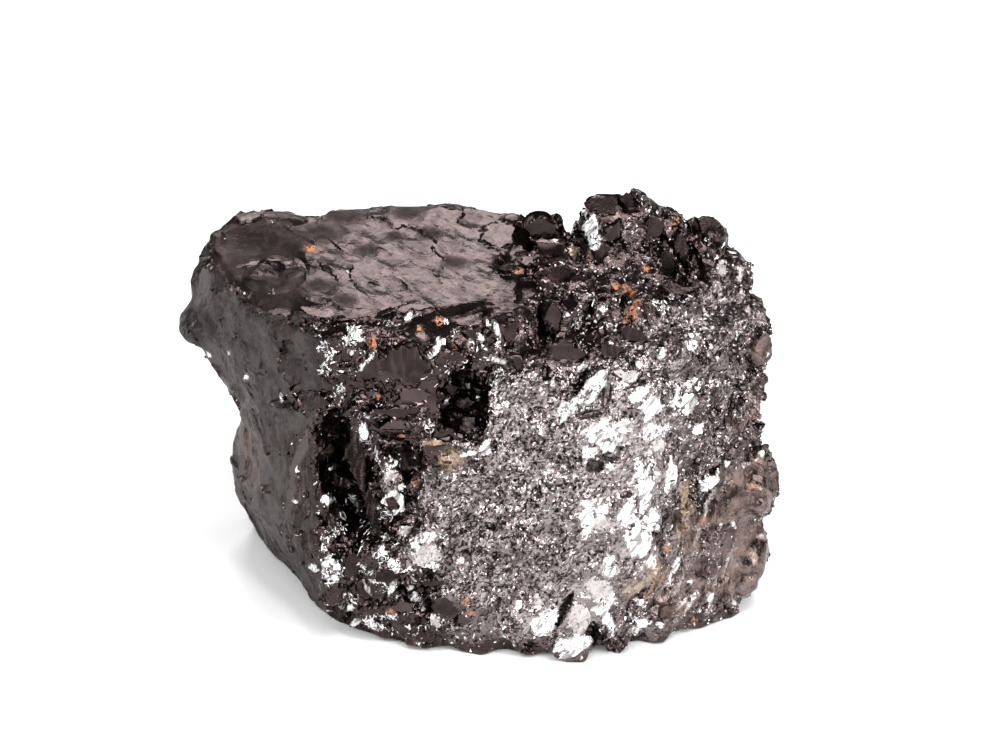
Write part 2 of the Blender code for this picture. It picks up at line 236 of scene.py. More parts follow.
# Hollows that run deeper in the skin than in the solid: column, row, width and height as seen
# from the camera, roll in degrees, and depth. A depth below zero is a bulge.
# Their deep parts are painted with shade.
HOLLOWS = {
    "cavity": (345, 474, 4.4, 11.4, 12, 2.4),
    "cavity_foot": (352, 520, 2.4, 4.0, 16, 0.8),
    "slit": (407, 462, 1.1, 3.8, 0, 1.5),
    "slit_foot": (417, 480, 0.8, 2.2, 20, 0.6),
    "notch_high": (464, 378, 2.6, 2.0, 0, 0.7),
    "notch_edge": (484, 408, 0.8, 4.0, 0, 0.6),
    "groove": (563, 610, 0.8, 3.8, -27, 1.2),
    "pendant_hollow": (593, 633, 1.2, 2.0, 0, 1.4),
    "crevice": (543, 322, 0.9, 5.0, 0, 1.5),
    "crevice_right": (592, 312, 0.8, 1.8, 0, 0.8),
    "pit_left": (595, 466, 1.7, 1.2, 0, 0.6),
    "pit_right": (613, 454, 2.4, 1.2, 25, 0.5),
    "hook_hole": (624, 301, 0.9, 1.3, 0, 1.0),
    "castle_slot": (580, 244, 0.9, 2.6, 0, 1.0),
    "knob_slot": (697, 264, 1.0, 4.4, 20, 0.7),
    "seam_high": (668, 247, 0.8, 2.4, 25, 0.6),
    "rim_gap": (388, 324, 3.0, 0.7, -12, 0.3),
    "foot_gap": (466, 562, 1.0, 2.4, 0, 0.4),
    "foot_gap_low": (432, 578, 1.6, 0.8, 0, 0.5),
    "wall_pit": (283, 402, 2.0, 0.9, 0, 0.4),
    "corner_gap": (303, 538, 1.6, 1.6, 0, 0.4),
    "low_gap": (372, 604, 1.6, 0.8, -20, 0.4),
    "low_gap_right": (418, 574, 1.4, 0.9, 0, 0.4),
    "low_gap_left": (346, 592, 1.0, 1.6, 0, 0.4),
    "face_gap": (607, 392, 0.9, 3.4, -8, 0.5),
    "face_gap_low": (590, 414, 2.8, 0.7, 12, 0.4),
    "face_gap_high": (664, 373, 2.4, 0.8, 8, 0.4),
    "face_gap_left": (545, 372, 0.8, 1.6, 0, 0.4),
    "patch_gap": (637, 384, 1.6, 0.5, 20, 0.4),
    "patch_gap_left": (626, 507, 1.2, 0.5, -10, 0.4),
    "patch_gap_low": (597, 550, 1.8, 1.0, 0, 0.4),
    "patch_gap_high": (626, 494, 1.0, 0.6, 0, 0.4),
    "patch_gap_right": (668, 441, 1.2, 1.6, 0, 0.3),
    "flank_gap": (678, 521, 0.9, 2.0, 0, 0.5),
    "flank_gap_high": (729, 422, 0.9, 1.6, 0, 0.5),
    "flank_gap_right": (729, 448, 1.1, 0.8, 0, 0.4),
    "flank_gap_middle": (694, 466, 0.6, 1.2, 0, 0.4),
    "flank_gap_low": (690, 540, 1.0, 3.4, -18, 0.4),
    "lobe_gap": (748, 478, 0.7, 2.4, 0, 0.4),
    "scoop": (250, 240, 5.0, 2.6, 0, 0.4),
    "waist_bulge": (747, 420, 3.0, 4.2, 0, -0.8),
    "knob_bulge": (717, 236, 2.6, 2.2, 0, -0.8),
    "crest_bulge": (743, 272, 2.4, 2.4, 0, -0.5),
    "shoulder_cut": (758, 292, 1.6, 1.8, 0, 0.7),
    "nodule_bulge": (758, 350, 2.4, 3.0, 0, -0.8),
    "waist_cut": (760, 388, 1.8, 1.6, 0, 0.4),
    "waist_low_bulge": (750, 438, 2.4, 2.6, 0, -0.5),
    "lobe_cut": (776, 484, 1.6, 2.0, 0, 0.4),
    "lobe_foot_bulge": (762, 508, 2.0, 1.8, 0, -0.4),
    "lower_lobe_bulge": (748, 588, 2.4, 2.0, 0, -0.5),
    "rim_back_bulge": (278, 220, 5.4, 1.4, 0, -0.5),
    "top_end_bulge": (512, 220, 2.2, 1.2, 0, -0.4),
    "castle_bulge": (588, 202, 1.8, 1.6, 0, -0.4),
    "wall_high_cut": (204, 266, 1.6, 1.6, 0, 0.3),
    "wall_low_cut": (238, 398, 1.6, 2.8, 0, 0.35),
    "shoulder_bulge": (760, 318, 1.8, 2.4, 0, -0.5),
    "wall_ear_cut": (190, 302, 1.2, 1.2, 0, 0.5),
    "notch_low": (463, 412, 3.6, 4.6, 0, 0.6),
    "peak_bulge": (556, 222, 1.4, 1.6, 0, -0.5),
    "castle_top_bulge": (638, 200, 1.4, 1.4, 0, -0.5),
    "knob_top_bulge": (688, 226, 1.4, 1.2, 0, -0.4),
    "rim_left_bulge": (218, 238, 1.4, 1.4, 0, -0.4),
    "shoulder_foot_bulge": (756, 366, 1.4, 1.6, 0, -0.4),
    "lobe_top_bulge": (763, 455, 1.8, 1.6, 0, -0.3),
    "scoop_end_bulge": (276, 276, 5.6, 3.2, 0, -0.95),
}
# Gaps in the outline: column and row of the foot, and width and height as seen from the camera.
GAPS = {
    "peak_gap": (569, 234, 1.65, 2.4),
}
# Facets that stayed whole: column, row, width and height as seen from the camera, roll, heading
# to the right of the front, rise over level, and look. The angles are in degrees. A panel's name
# seeds its outline, and it lies over the panels before it.
# White and pale panels are painted glints, mid panels paint sheen and cave panels paint shade.
PANELS = {
    "brow": (406, 360, 4.4, 3.5, -5, -4, 3, "dim"),
    "brow_side": (367, 371, 1.7, 2.0, 10, -18, 2, "dark"),
    "brow_low": (414, 394, 2.8, 1.5, -8, 4, -2, "grey"),
    "brow_left": (347, 378, 1.6, 1.4, 10, -14, 0, "dark"),
    "brow_shelf": (398, 412, 4.6, 1.2, 0, 2, -4, "dark"),
    "brow_lip": (392, 425, 3.2, 0.9, 0, 0, 8, "grey"),
    "brow_middle": (449, 389, 1.8, 1.1, 0, 10, 0, "dark"),
    "brow_corner": (345, 352, 1.1, 1.8, 10, -25, 4, "dark"),
    "brow_right": (510, 331, 1.6, 2.3, 0, 8, 4, "dark"),
    "brow_right_low": (514, 365, 2.6, 1.6, 12, -5, 0, "dark"),
    "brow_right_high": (475, 332, 1.6, 1.2, 10, 5, 8, "dark"),
    "under_shelf": (452, 436, 2.8, 1.2, 0, 5, -5, "dark"),
    "peak": (541, 227, 4.8, 3.6, 0, -5, 2, "dark"),
    "peak_left": (521, 232, 1.6, 2.6, 0, -35, 4, "dark"),
    "peak_foot": (553, 252, 3.8, 2.0, -14, 0, 0, "mid"),
    "peak_foot_low": (553, 272, 3.6, 2.0, -8, 0, 0, "grey"),
    "top_end": (500, 236, 3.6, 2.2, -8, 0, 88, "sheen"),
    "top_end_low": (502, 300, 2.6, 1.6, 0, 0, 85, "sheen"),
    "top_end_front": (548, 284, 1.6, 1.0, 0, 0, 0, "mid"),
    "top_patch_end": (528, 262, 1.8, 0.9, 0, 0, 88, "sheen"),
    "top_patch_front": (508, 268, 1.8, 1.0, 0, 0, 86, "sheen"),
    "rim_left": (322, 315, 4.8, 1.1, 0, 0, 84, "sheen"),
    "rim_middle": (366, 315, 4.8, 1.1, 2, 0, 84, "sheen"),
    "rim_right": (410, 310, 4.4, 0.9, 5, 0, 84, "sheen"),
    "notch_tooth": (444, 402, 0.9, 2.2, 20, 10, 0, "dim"),
    "notch_top": (455, 358, 2.0, 0.8, 0, 0, -6, "dark"),
    "scoop_strip": (252, 265, 2.2, 0.7, 12, 0, 88, "sheen"),
    "scoop_rim": (250, 219, 3.4, 0.9, 8, 0, 88, "sheen"),
    "castle": (602, 204, 4.4, 2.6, 0, -3, 2, "grey"),
    "castle_low": (611, 234, 1.6, 2.2, 10, 10, 2, "dim"),
    "castle_cheek": (600, 252, 1.4, 1.4, 0, 0, 0, "dim"),
    "castle_back": (656, 228, 1.8, 2.6, 20, 5, 5, "dark"),
    "tall": (553, 316, 1.6, 4.4, 2, 4, 2, "dark"),
    "tall_right": (571, 302, 1.5, 1.6, 0, -6, 2, "dark"),
    "wedge": (568, 352, 3.0, 2.0, -12, 2, -2, "dark"),
    "crest_panel": (601, 293, 1.7, 1.5, 0, 4, 2, "grey"),
    "crest_low": (632, 334, 2.6, 1.7, -10, 0, 0, "dim"),
    "crest_seam": (678, 287, 3.4, 1.3, 8, 5, 4, "dim"),
    "crest_far": (681, 250, 1.3, 2.6, 20, 12, 3, "dim"),
    "knob": (706, 224, 2.2, 1.8, -10, 5, 2, "grey"),
    "knob_side": (696, 226, 0.9, 2.2, 0, -20, 0, "dim"),
    "nodule": (758, 345, 1.7, 2.0, 0, 40, 0, "grey"),
    "foot_panel": (447, 607, 1.8, 1.6, 20, 0, 0, "dark"),
    "low_a": (352, 566, 1.7, 2.4, 10, -12, 0, "dim"),
    "low_b": (389, 576, 2.0, 1.4, -10, 4, -4, "dim"),
    "low_c": (365, 590, 2.0, 1.5, 0, -4, 0, "dim"),
    "low_d": (313, 524, 1.8, 1.6, 20, -40, 0, "dim"),
    "low_e": (404, 606, 2.4, 1.4, 0, 0, -2, "grey"),
    "low_f": (417, 590, 1.6, 0.9, 0, 5, 0, "dim"),
    "low_g": (437, 583, 2.4, 0.7, 0, 0, -4, "dim"),
    "cavity_side": (361, 470, 1.8, 9.8, 11, -30, 17, "cave"),
    "wall_high": (205, 282, 1.8, 4.4, -12, -60, 6, "grey"),
    "wall_high_low": (225, 300, 2.4, 2.6, 0, -55, 8, "dark"),
    "brow_glint": (356, 334, 1.1, 1.3, 30, -4, 2, "white"),
    "brow_glint_left": (351, 352, 0.6, 0.5, -20, -10, 2, "white"),
    "brow_glint_low": (370, 358, 0.35, 1.9, -42, -5, 0, "white"),
    "brow_arc": (438, 347, 0.5, 1.5, -15, 5, 2, "white"),
    "brow_arc_foot": (430, 356, 0.8, 0.5, 30, 0, 2, "white"),
    "under_brow": (364, 431, 0.7, 1.5, 14, 0, 0, "white"),
    "brow_rim_glint": (408, 317, 0.9, 0.5, 45, 0, 5, "white"),
    "brow_far": (496, 328, 0.5, 1.4, 15, 0, 2, "white"),
    "brow_far_low": (481, 338, 0.8, 0.8, 0, 5, 2, "white"),
    "brow_far_foot": (499, 360, 2.0, 0.4, -24, 0, 0, "white"),
    "castle_window": (591, 230, 1.4, 2.9, 4, -12, 2, "white"),
    "castle_window_low": (595, 244, 0.6, 0.9, 0, 0, 2, "white"),
    "castle_glints": (585, 212, 0.5, 0.7, 0, 0, 2, "white"),
    "crest_glint": (602, 309, 0.8, 0.5, -20, 0, 2, "white"),
    "shoulder_glint": (722, 268, 0.9, 1.2, 0, 12, 2, "pale"),
    "shoulder_glint_right": (740, 274, 0.8, 1.4, -20, 20, 2, "pale"),
    "shoulder_edge": (662, 353, 0.8, 0.9, 0, 5, 2, "white"),
    "shelf": (431, 443, 2.4, 0.45, 0, 0, 30, "tan"),
    "shelf_right": (450, 458, 1.9, 1.0, 14, 0, 5, "tan"),
    "shelf_glint": (469, 454, 1.2, 0.5, 8, 0, 8, "white"),
    "shelf_glint_right": (486, 449, 0.9, 1.4, 15, 5, 2, "white"),
    "streak": (594, 386, 1.4, 3.3, -36, 3, 2, "white"),
    "streak_low": (577, 403, 1.3, 2.0, -45, 3, 2, "white"),
    "streak_tip": (583, 366, 1.0, 0.5, 25, 0, 10, "white"),
    "patch_a": (596, 434, 1.5, 1.9, -15, 4, 2, "white"),
    "patch_a_low": (589, 452, 1.4, 1.2, 20, 4, 2, "white"),
    "patch_a_right": (607, 447, 1.6, 0.8, -25, 2, 2, "white"),
    "patch_b": (624, 424, 1.4, 1.2, 0, 6, 2, "pale"),
    "patch_c": (651, 408, 1.5, 1.7, -10, 6, 2, "white"),
    "patch_c_low": (652, 432, 1.9, 1.3, 20, 6, 2, "white"),
    "patch_c_foot": (658, 446, 1.2, 1.1, 0, 6, 0, "pale"),
    "patch_d": (689, 405, 1.7, 1.8, 15, 10, 2, "white"),
    "patch_d_low": (697, 430, 0.9, 0.9, 0, 10, 2, "white"),
    "patch_e": (638, 466, 0.9, 1.0, 0, 5, 2, "white"),
    "patch_e_right": (654, 473, 1.0, 0.7, -10, 5, 2, "white"),
    "patch_f": (671, 476, 1.1, 2.4, -8, 8, 2, "white"),
    "patch_f_left": (645, 492, 1.0, 2.6, -6, 5, 2, "white"),
    "patch_g": (640, 546, 2.6, 2.2, 10, 5, 2, "white"),
    "patch_g_high": (626, 514, 1.6, 2.2, -8, 4, 2, "white"),
    "patch_g_right": (654, 520, 1.0, 1.8, 0, 7, 2, "white"),
    "patch_g_left": (611, 560, 1.4, 0.9, 20, 3, 0, "white"),
    "patch_h": (588, 514, 1.3, 1.8, 15, 2, 2, "white"),
    "patch_h_right": (602, 523, 1.4, 1.1, 0, 2, 2, "pale"),
    "patch_i": (612, 466, 1.3, 0.6, 10, 3, 2, "white"),
    "patch_k": (629, 376, 1.7, 1.2, -15, 4, 6, "pale"),
    "patch_k_low": (620, 384, 1.4, 0.5, -8, 4, 2, "white"),
    "pendant": (572, 645, 2.8, 2.0, 0, 0, 4, "white"),
    "pendant_tip": (566, 653, 1.6, 1.0, 0, -6, -2, "white"),
    "pendant_high": (579, 618, 2.0, 3.2, -25, 0, 2, "pale"),
    "pendant_neck": (599, 588, 2.6, 1.6, -15, 2, 4, "pale"),
    "pendant_neck_right": (610, 572, 1.8, 0.9, 10, 4, 4, "white"),
    "pendant_right": (606, 617, 1.0, 3.0, 20, 6, 2, "white"),
    "foot_fan": (543, 627, 2.0, 1.2, 15, 0, 2, "white"),
    "foot_fan_high": (537, 600, 0.7, 1.8, 15, 0, 2, "pale"),
    "foot_fan_left": (519, 606, 1.0, 1.0, 0, -4, 2, "white"),
    "foot_fan_right": (552, 615, 0.6, 1.4, -35, 0, 2, "white"),
    "foot_right": (634, 630, 1.4, 0.8, 20, 5, 0, "white"),
    "slit_flake": (394, 500, 1.6, 1.9, -10, -3, 2, "white"),
    "slit_flake_high": (392, 476, 1.1, 1.0, 0, 0, 2, "pale"),
    "slit_flake_right": (401, 487, 0.7, 0.6, 0, 5, 2, "white"),
    "hollow_patch": (427, 553, 2.8, 2.0, 15, 0, 2, "pale"),
    "hollow_patch_high": (428, 539, 0.9, 1.2, 10, 0, 2, "white"),
    "hollow_patch_low": (433, 566, 1.4, 0.7, -15, 0, 0, "white"),
    "hollow_patch_left": (405, 531, 1.4, 1.2, 0, -4, 2, "pale"),
    "corner_flake": (333, 565, 1.5, 1.1, -20, -8, 2, "white"),
    "corner_flake_low": (331, 578, 1.6, 0.6, 0, -5, 2, "white"),
    "corner_flake_left": (314, 568, 0.9, 0.7, -10, -30, 2, "white"),
    "cavity_flake": (327, 499, 0.9, 0.8, 20, -10, 2, "white"),
    "low_flake": (384, 551, 1.0, 0.8, -20, 0, 2, "white"),
    "low_flake_right": (395, 566, 0.8, 1.7, 35, 0, 2, "white"),
    "low_blade": (392, 588, 0.5, 1.7, -30, 0, 2, "white"),
    "low_blade_right": (404, 586, 0.4, 1.6, -20, 0, 2, "white"),
    "low_blade_left": (367, 588, 0.35, 1.3, 35, 0, 2, "pale"),
    "corner_crumb": (350, 607, 0.9, 0.7, 45, -5, 2, "white"),
    "corner_crumb_low": (372, 623, 1.0, 0.8, -45, -5, 2, "white"),
    "corner_crumb_left": (356, 622, 1.1, 0.6, 45, -8, 2, "white"),
    "low_crumb": (415, 596, 0.9, 0.8, 0, 0, 2, "white"),
    "flank_glint": (676, 566, 0.5, 1.5, -15, 10, 2, "white"),
    "flank_glint_right": (711, 598, 0.5, 1.4, -20, 20, 2, "white"),
    "flank_glint_low": (708, 610, 0.5, 0.9, -35, 15, 2, "white"),
    "flank_glint_left": (670, 578, 0.3, 1.4, -12, 10, 2, "white"),
    "flank_pair": (691, 581, 0.8, 0.5, 10, 12, 2, "white"),
    "flank_dot": (733, 524, 0.6, 0.7, 0, 25, 2, "white"),
    "flank_dot_low": (761, 536, 0.8, 0.5, -20, 30, 2, "pale"),
    "flank_dot_high": (745, 465, 0.55, 0.6, 0, 20, 2, "white"),
    "lobe_dot": (762, 455, 0.5, 0.6, 0, 30, 2, "white"),
    "scoop_strip_right": (274, 262, 2.4, 0.8, 4, 0, 88, "sheen"),
    "rim_far_left": (282, 313, 2.6, 0.9, 0, 0, 84, "sheen"),
    "flank_streak": (703, 520, 0.45, 5.0, -18, 20, 2, "pale"),
    "flank_streak_high": (716, 478, 0.7, 1.6, -20, 20, 2, "pale"),
    "flank_streak_left": (676, 590, 0.35, 2.6, -24, 15, 2, "pale"),
    "flank_streak_right": (728, 560, 0.3, 2.4, -16, 25, 2, "pale"),
    "flank_streak_low": (690, 604, 0.35, 2.0, -30, 15, 2, "white"),
    "flank_dark": (716, 516, 1.1, 4.2, -18, 25, 0, "dim"),
    "flank_dark_high": (731, 490, 1.5, 1.8, 0, 30, 0, "dim"),
    "flank_dark_low": (700, 566, 0.9, 2.6, -22, 20, 0, "dim"),
    "flank_dark_foot": (668, 612, 1.2, 1.6, -30, 12, 0, "dim"),
    "flank_dark_right": (722, 590, 0.8, 2.4, -10, 25, 0, "dim"),
    "flank_tan": (684, 494, 0.7, 2.4, -5, 15, 0, "tan"),
    "flank_tan_low": (650, 590, 0.5, 3.2, -30, 10, 0, "tan"),
    "flank_tan_foot": (663, 578, 0.4, 2.6, -28, 10, 0, "tan"),
    "wall_glint": (246, 377, 0.45, 0.5, 0, -60, 0, "white"),
    "wall_glint_high": (209, 355, 0.4, 0.4, 0, -70, 0, "white"),
    "wall_glint_low": (229, 353, 0.3, 0.3, 0, -60, 0, "white"),
    "wall_glint_right": (281, 398, 0.25, 0.7, 0, -55, 0, "white"),
    "wall_streak": (256, 500, 0.5, 1.5, 8, -60, 0, "mid"),
    "wall_band": (300, 455, 0.9, 4.6, -20, -50, 0, "mid"),
    "wall_band_low": (290, 500, 0.8, 3.6, -14, -50, 0, "grey"),
    "wall_edge_low": (312, 588, 0.5, 4.2, 26, -50, 0, "mid"),
    "cavity_rim": (330, 475, 0.25, 4.6, 18, -30, 0, "mid"),
    "cavity_rim_low": (347, 520, 0.25, 3.8, 22, -30, 0, "grey"),
    "cavity_glint": (353, 483, 0.4, 0.5, 0, -10, 2, "white"),
    "cavity_glint_low": (350, 497, 0.6, 0.4, 20, -10, 2, "white"),
    "cavity_glint_foot": (357, 508, 0.3, 1.0, 25, -10, 2, "white"),
    "cavity_side_low": (374, 515, 0.9, 4.6, 4, -30, 17, "cave"),
    "brow_glint_high": (363, 340, 0.7, 0.6, 0, -4, 2, "white"),
    "brow_glint_dark": (361, 345, 0.9, 0.7, 10, -4, 2, "dim"),
    "brow_glint_foot": (362, 366, 0.35, 0.9, -30, -5, 0, "white"),
    "brow_far_left": (488, 324, 0.4, 0.9, 30, 0, 2, "pale"),
    "foot_crystal": (436, 622, 1.0, 1.2, 0, 0, 2, "pale"),
    "foot_crystal_right": (462, 620, 1.4, 1.0, 0, 0, 0, "grey"),
    "foot_crystal_left": (408, 588, 1.2, 0.8, 0, 0, 2, "pale"),
    "castle_right": (628, 200, 2.0, 1.4, 0, 10, 4, "dim"),
    "crest_low_left": (612, 352, 2.4, 1.3, 0, 0, 0, "dim"),
    "crest_dark": (668, 262, 1.6, 3.2, 15, 5, 2, "dim"),
    "corner_high": (303, 342, 2.2, 3.0, 10, -45, 2, "dark"),
    "corner_middle": (312, 378, 1.8, 3.0, -15, -42, 0, "dark"),
    "corner_low": (322, 404, 1.6, 1.6, 0, -40, 0, "dim"),
    "scoop_strip_far": (300, 264, 1.8, 0.9, -8, 0, 88, "sheen"),
    "notch_glint": (468, 386, 0.3, 0.55, 0, 0, 2, "white"),
    "notch_glint_right": (478, 398, 0.25, 0.5, 0, 10, 2, "white"),
    "notch_glint_left": (447, 400, 0.5, 0.35, 40, 0, 2, "white"),
    "notch_facet": (467, 425, 1.6, 0.9, 10, 0, 4, "cave"),
    "flank_dot_left": (727, 463, 0.5, 0.6, -20, 20, 2, "white"),
    "flank_dot_far": (761, 453, 0.6, 0.5, 0, 30, 2, "white"),
    "flank_dot_foot": (713, 482, 0.4, 1.4, -30, 15, 2, "white"),
    "fringe_white": (641, 622, 1.5, 0.8, -25, 8, 2, "white"),
    "fringe_white_high": (640, 603, 0.9, 0.7, -20, 8, 2, "white"),
    "fringe_dot": (661, 626, 0.5, 0.4, 0, 8, 2, "white"),
    "fringe_dot_right": (674, 622, 0.5, 0.5, 0, 8, 2, "white"),
    "fringe_streak": (682, 604, 0.4, 1.6, -38, 12, 2, "pale"),
    "fringe_dot_far": (699, 610, 0.6, 0.5, 0, 12, 2, "white"),
    "fringe_edge": (733, 603, 0.7, 0.5, -20, 25, 2, "white"),
    "notch_core": (463, 403, 1.8, 1.7, 20, 0, 17, "cave"),
}
# What each look sets on its panel's faces. A finish that it leaves out is 0 there. The light of
# dark, dim, grey and mid makes the one black glass darker or lighter, as painted shade and light;
# mid also paints sheen, bright rims and lighter wall streaks, cave paints shade into hollows, and
# white and pale paint glints.
LOOKS = {
    "dark": {"calm": 1.0, "light": -0.3, "tone": 0.4},
    "dim": {"calm": 1.0, "light": -0.4, "shade": 0.3, "tone": 0.4},
    "grey": {"calm": 1.0, "light": 0.3, "tone": 0.4},
    "mid": {"calm": 1.0, "light": 1.1, "tone": 0.4},
    "sheen": {"calm": 0.7, "flat_top": 1.0, "tone": 0.4},
    "white": {"calm": 0.7, "fresh_glint": 1.0, "tone": 1.0},
    "pale": {"calm": 0.5, "silver": 1.0, "light": 1.0, "fresh_glint": 0.3, "tone": 1.0},
    "cave": {"calm": 1.0, "light": -0.4, "shade": 1.0, "tone": 0.4},
    "tan": {"calm": 0.3, "clay": 1.0, "light": 1.0, "tone": 0.6},
}
# Rust stains.
RUST_SPOTS = {
    "hook_top": (616, 286, 0.34),
    "hook_back": (625, 287, 0.36),
    "hook_bend": (633, 293, 0.36),
    "hook_foot": (632, 312, 0.55),
    "hook_drip": (626, 321, 0.3),
    "scoop_edge": (311, 249, 0.65),
    "brow_fleck": (372, 343, 0.4),
    "brow_rim": (440, 322, 0.35),
    "brow_rim_left": (420, 328, 0.3),
    "brow_spark": (455, 348, 0.25),
    "brow_crack": (379, 396, 0.3),
    "under_shelf": (402, 436, 0.35),
    "slit_foot": (414, 482, 0.3),
    "foot_crumb": (467, 601, 0.45),
    "foot_crumb_low": (470, 612, 0.25),
    "foot_stain": (392, 612, 0.35),
    "crest_seam": (646, 268, 0.3),
    "knob_cap": (677, 221, 0.35),
    "top_fleck": (518, 272, 0.3),
    "lobe_fleck": (751, 487, 0.25),
    "flank_seam": (668, 548, 0.3),
    "flank_crack": (704, 520, 0.3),
    "foot_right": (694, 618, 0.3),
    "hook_side": (636, 302, 0.34),
}
# Tan, clayey stains.
CLAY_SPOTS = {
    "under_notch": (452, 460, 0.9),
    "crest_gap": (571, 251, 0.6),
    "crest_gap_right": (590, 255, 0.4),
    "flank_ledge": (685, 512, 0.8),
    "flank_ledge_low": (686, 530, 0.7),
    "flank_streak": (640, 590, 1.0),
    "flank_streak_high": (655, 575, 0.9),
}
# Brown weathering.
BROWN_SPOTS = {
    "upper_lobe": (758, 480, 3.4),
    "upper_lobe_foot": (750, 505, 3.0),
    "lower_lobe": (752, 555, 3.4),
    "lower_lobe_foot": (745, 585, 3.0),
    "flank_band": (705, 530, 2.6),
    "flank_foot": (685, 590, 3.2),
    "foot_band": (645, 585, 2.2),
    "waist": (748, 420, 2.0),
    "nodule": (760, 350, 1.4),
    "left_bulge": (250, 450, 3.0),
}

# Softboxes: degrees to the right of the front, degrees up, metres away, metres wide, radiance.
SOFTBOXES = {
    "front_low": (8, 20, 1.6, 0.5, 9.0),
    "front_right": (48, 38, 1.3, 0.6, 9.0),
    "front_left": (-42, 48, 1.3, 0.45, 9.0),
    "side_right": (105, 35, 1.4, 0.5, 7.0),
    "side_left": (-100, 30, 1.5, 0.5, 4.0),
    "back": (180, 36, 1.4, 0.6, 8.0),
    "high_front": (-8, 66, 1.3, 0.6, 4.0),
    "spark_right": (25, 62, 1.0, 0.12, 60.0),
    "spark_left": (-20, 30, 1.2, 0.12, 60.0),
    "spark_side": (65, 15, 1.2, 0.12, 60.0),
}
# Where the lights point, and the nearest and furthest that the camera sees, in metres.
LIGHT_TARGET = (0.0, 0.0, 0.015)
CAMERA_CLIP = (0.01, 20.0)
WHITE = (1, 1, 1, 1)
WORLD_LIGHT = 0.11

# Flat facets stand this far out of the skin, have so many sides, and reach this deep.
PANEL_LIFT = 0.12
PANEL_SIDES = (5, 8)
PANEL_REACH = 5.0
# How far a panel's corners stray round it, and how far its sides lie from its middle.
PANEL_STRAY = 0.35
PANEL_SPREAD = (0.66, 1.08)
# How far a panel may sink or lift the skin, and how much it gives way to the skin's own slope.
PANEL_RANGE = (-0.9, 0.6)
PANEL_YIELD = 0.3
# How soft a panel's edge is in the form and in the finish.
PANEL_EDGE = 0.1
LOOK_EDGE = 0.06
# The flat part of a gap's foot, against its width.
GAP_FOOT = 0.35
# How far the fractures may sink and lift the skin, and how far they lift it on the whole.
RELIEF_RANGE = (-1.1, 0.4)
RELIEF_LIFT = 0.14
# A hollow's side, from its bottom to its rim, as parts of its oval, and what counts as deep. Deep
# parts are painted with shade.
HOLLOW_SIDE = (0.0, 0.75)
DEEP = (0.1, 0.6)
# Cells of one finish are this large.
FINISH_CELL = 0.6
# The skin comes to rest over this height above its foot.
FOOT_EDGE = (0.0, 0.6)

# The ways in which parts of the chunk are drawn out.
UPRIGHT = Vector((0, 0, 1))
TOP_GRAIN = Vector((0.55, -0.83, 0.0)).normalized()
FACE_GRAIN = Vector((0.57, 0.0, 0.82)).normalized()
FLANK_GRAIN = Vector((0.42, -0.25, 0.87)).normalized()
WALL_GRAIN = Vector((0.1, -0.15, 0.98)).normalized()

# Where each zone starts and where it is full: along an axis, or as a part of the normal.
ZONE_EDGES = {
    "top_slope": (0.62, 0.80),
    "top_height": (27.6, 28.6),
    "top_end": (-4.5, -2.5),
    "wall_slope": (0.3, 0.5),
    "wall_side": (14.2, 15.8),
    "wall_ear": (22.5, 24.0),
    "back_slope": (0.0, 0.4),
    "flank_side": (13.0, 17.0),
    "flank_height": (-27.0, -23.0),
    "crest_height": (26.5, 28.5),
    "crest_side": (-1.5, 1.0),
    "rim_height": (27.0, 28.5),
    "rim_side": (0.0, 2.0),
    "corner_side": (11.5, 13.5),
    "corner_front": (2.0, 6.0),
    "corner_height": (-21.0, -18.0),
    "foot_height": (-6.0, -3.0),
    "foot_side": (2.0, 5.0),
    "wall_dark": (18.0, 25.0),
}
# Layers of fractures: size of the facets, depth, slope, hollowness, and the way and the length
# that they are drawn out.
LAYERS = {
    "rough": (2.8, 0.40, 0.7, 0.5, UPRIGHT, 1.0),
    "rough_fine": (0.95, 0.42, 0.8, 0.6, UPRIGHT, 1.0),
    "silver": (2.4, 0.26, 0.7, 0.5, UPRIGHT, 1.0),
    "silver_fine": (0.8, 0.34, 0.8, 0.6, UPRIGHT, 1.0),
    "top": (3.2, 0.20, 0.5, 0.5, TOP_GRAIN, 1.8),
    "top_fine": (1.1, 0.16, 0.4, 0.6, TOP_GRAIN, 2.2),
    "wall": (3.0, 0.26, 0.6, 0.5, UPRIGHT, 1.0),
    "wall_fine": (1.1, 0.30, 0.7, 0.6, WALL_GRAIN, 1.7),
    "corner": (0.8, 0.55, 0.8, 0.6, WALL_GRAIN, 6.0),
    "hollow": (0.6, 0.30, 0.8, 0.6, WALL_GRAIN, 6.0),
    "flank": (1.1, 0.34, 0.8, 0.6, FLANK_GRAIN, 3.5),
}
# A layer is left out where it shows less than this.
FAINT = 0.02

# Cracks in the fresh fractures' painted white glint run this far off upright.
CRACK_LEAN = math.radians(35)
# Silver grains lie along the cracks, give or take.
STREAK_SPINS = (-CRACK_LEAN - 0.4, -CRACK_LEAN + 0.4)
# Blocks are darker than the rubble around them.
BLOCK_LIGHT = -0.15
BLOCK_CUTS = 14
BLOCK_REACH = (0.32, 0.42)
GRAIN_CORNERS = 10
# Kinds of grain shape, how flat they are, how small grains outnumber large ones, how deep they
# sink against their kind's depth, and how much of a grain has to stand clear of the floor.
GRAIN_SHAPES = 14
GRAIN_FLATNESS = (0.45, 0.8)
GRAIN_SKEW = 1.6
GRAIN_SINKING = (0.6, 1.2)
GRAIN_CLEARANCE = 0.55
# A share of grains painted white as glints that makes all of them painted so.
ALL_BRIGHT = 9.0
# The seed of the grains, and the seed of the noise that the outlines of the stains wander by.
GRAIN_SEED = 4
WANDER_SEED = 1795472327

# What the material reads from the faces, and what a panel's look replaces there.
FINISHES = (
    "silver", "fresh_glint", "rust", "clay", "brown", "calm", "matt", "shade", "light", "flat_top",
    "wall", "tone",
)
PANEL_FINISHES = (
    "silver", "fresh_glint", "clay", "calm", "matt", "shade", "light", "flat_top", "tone",
)
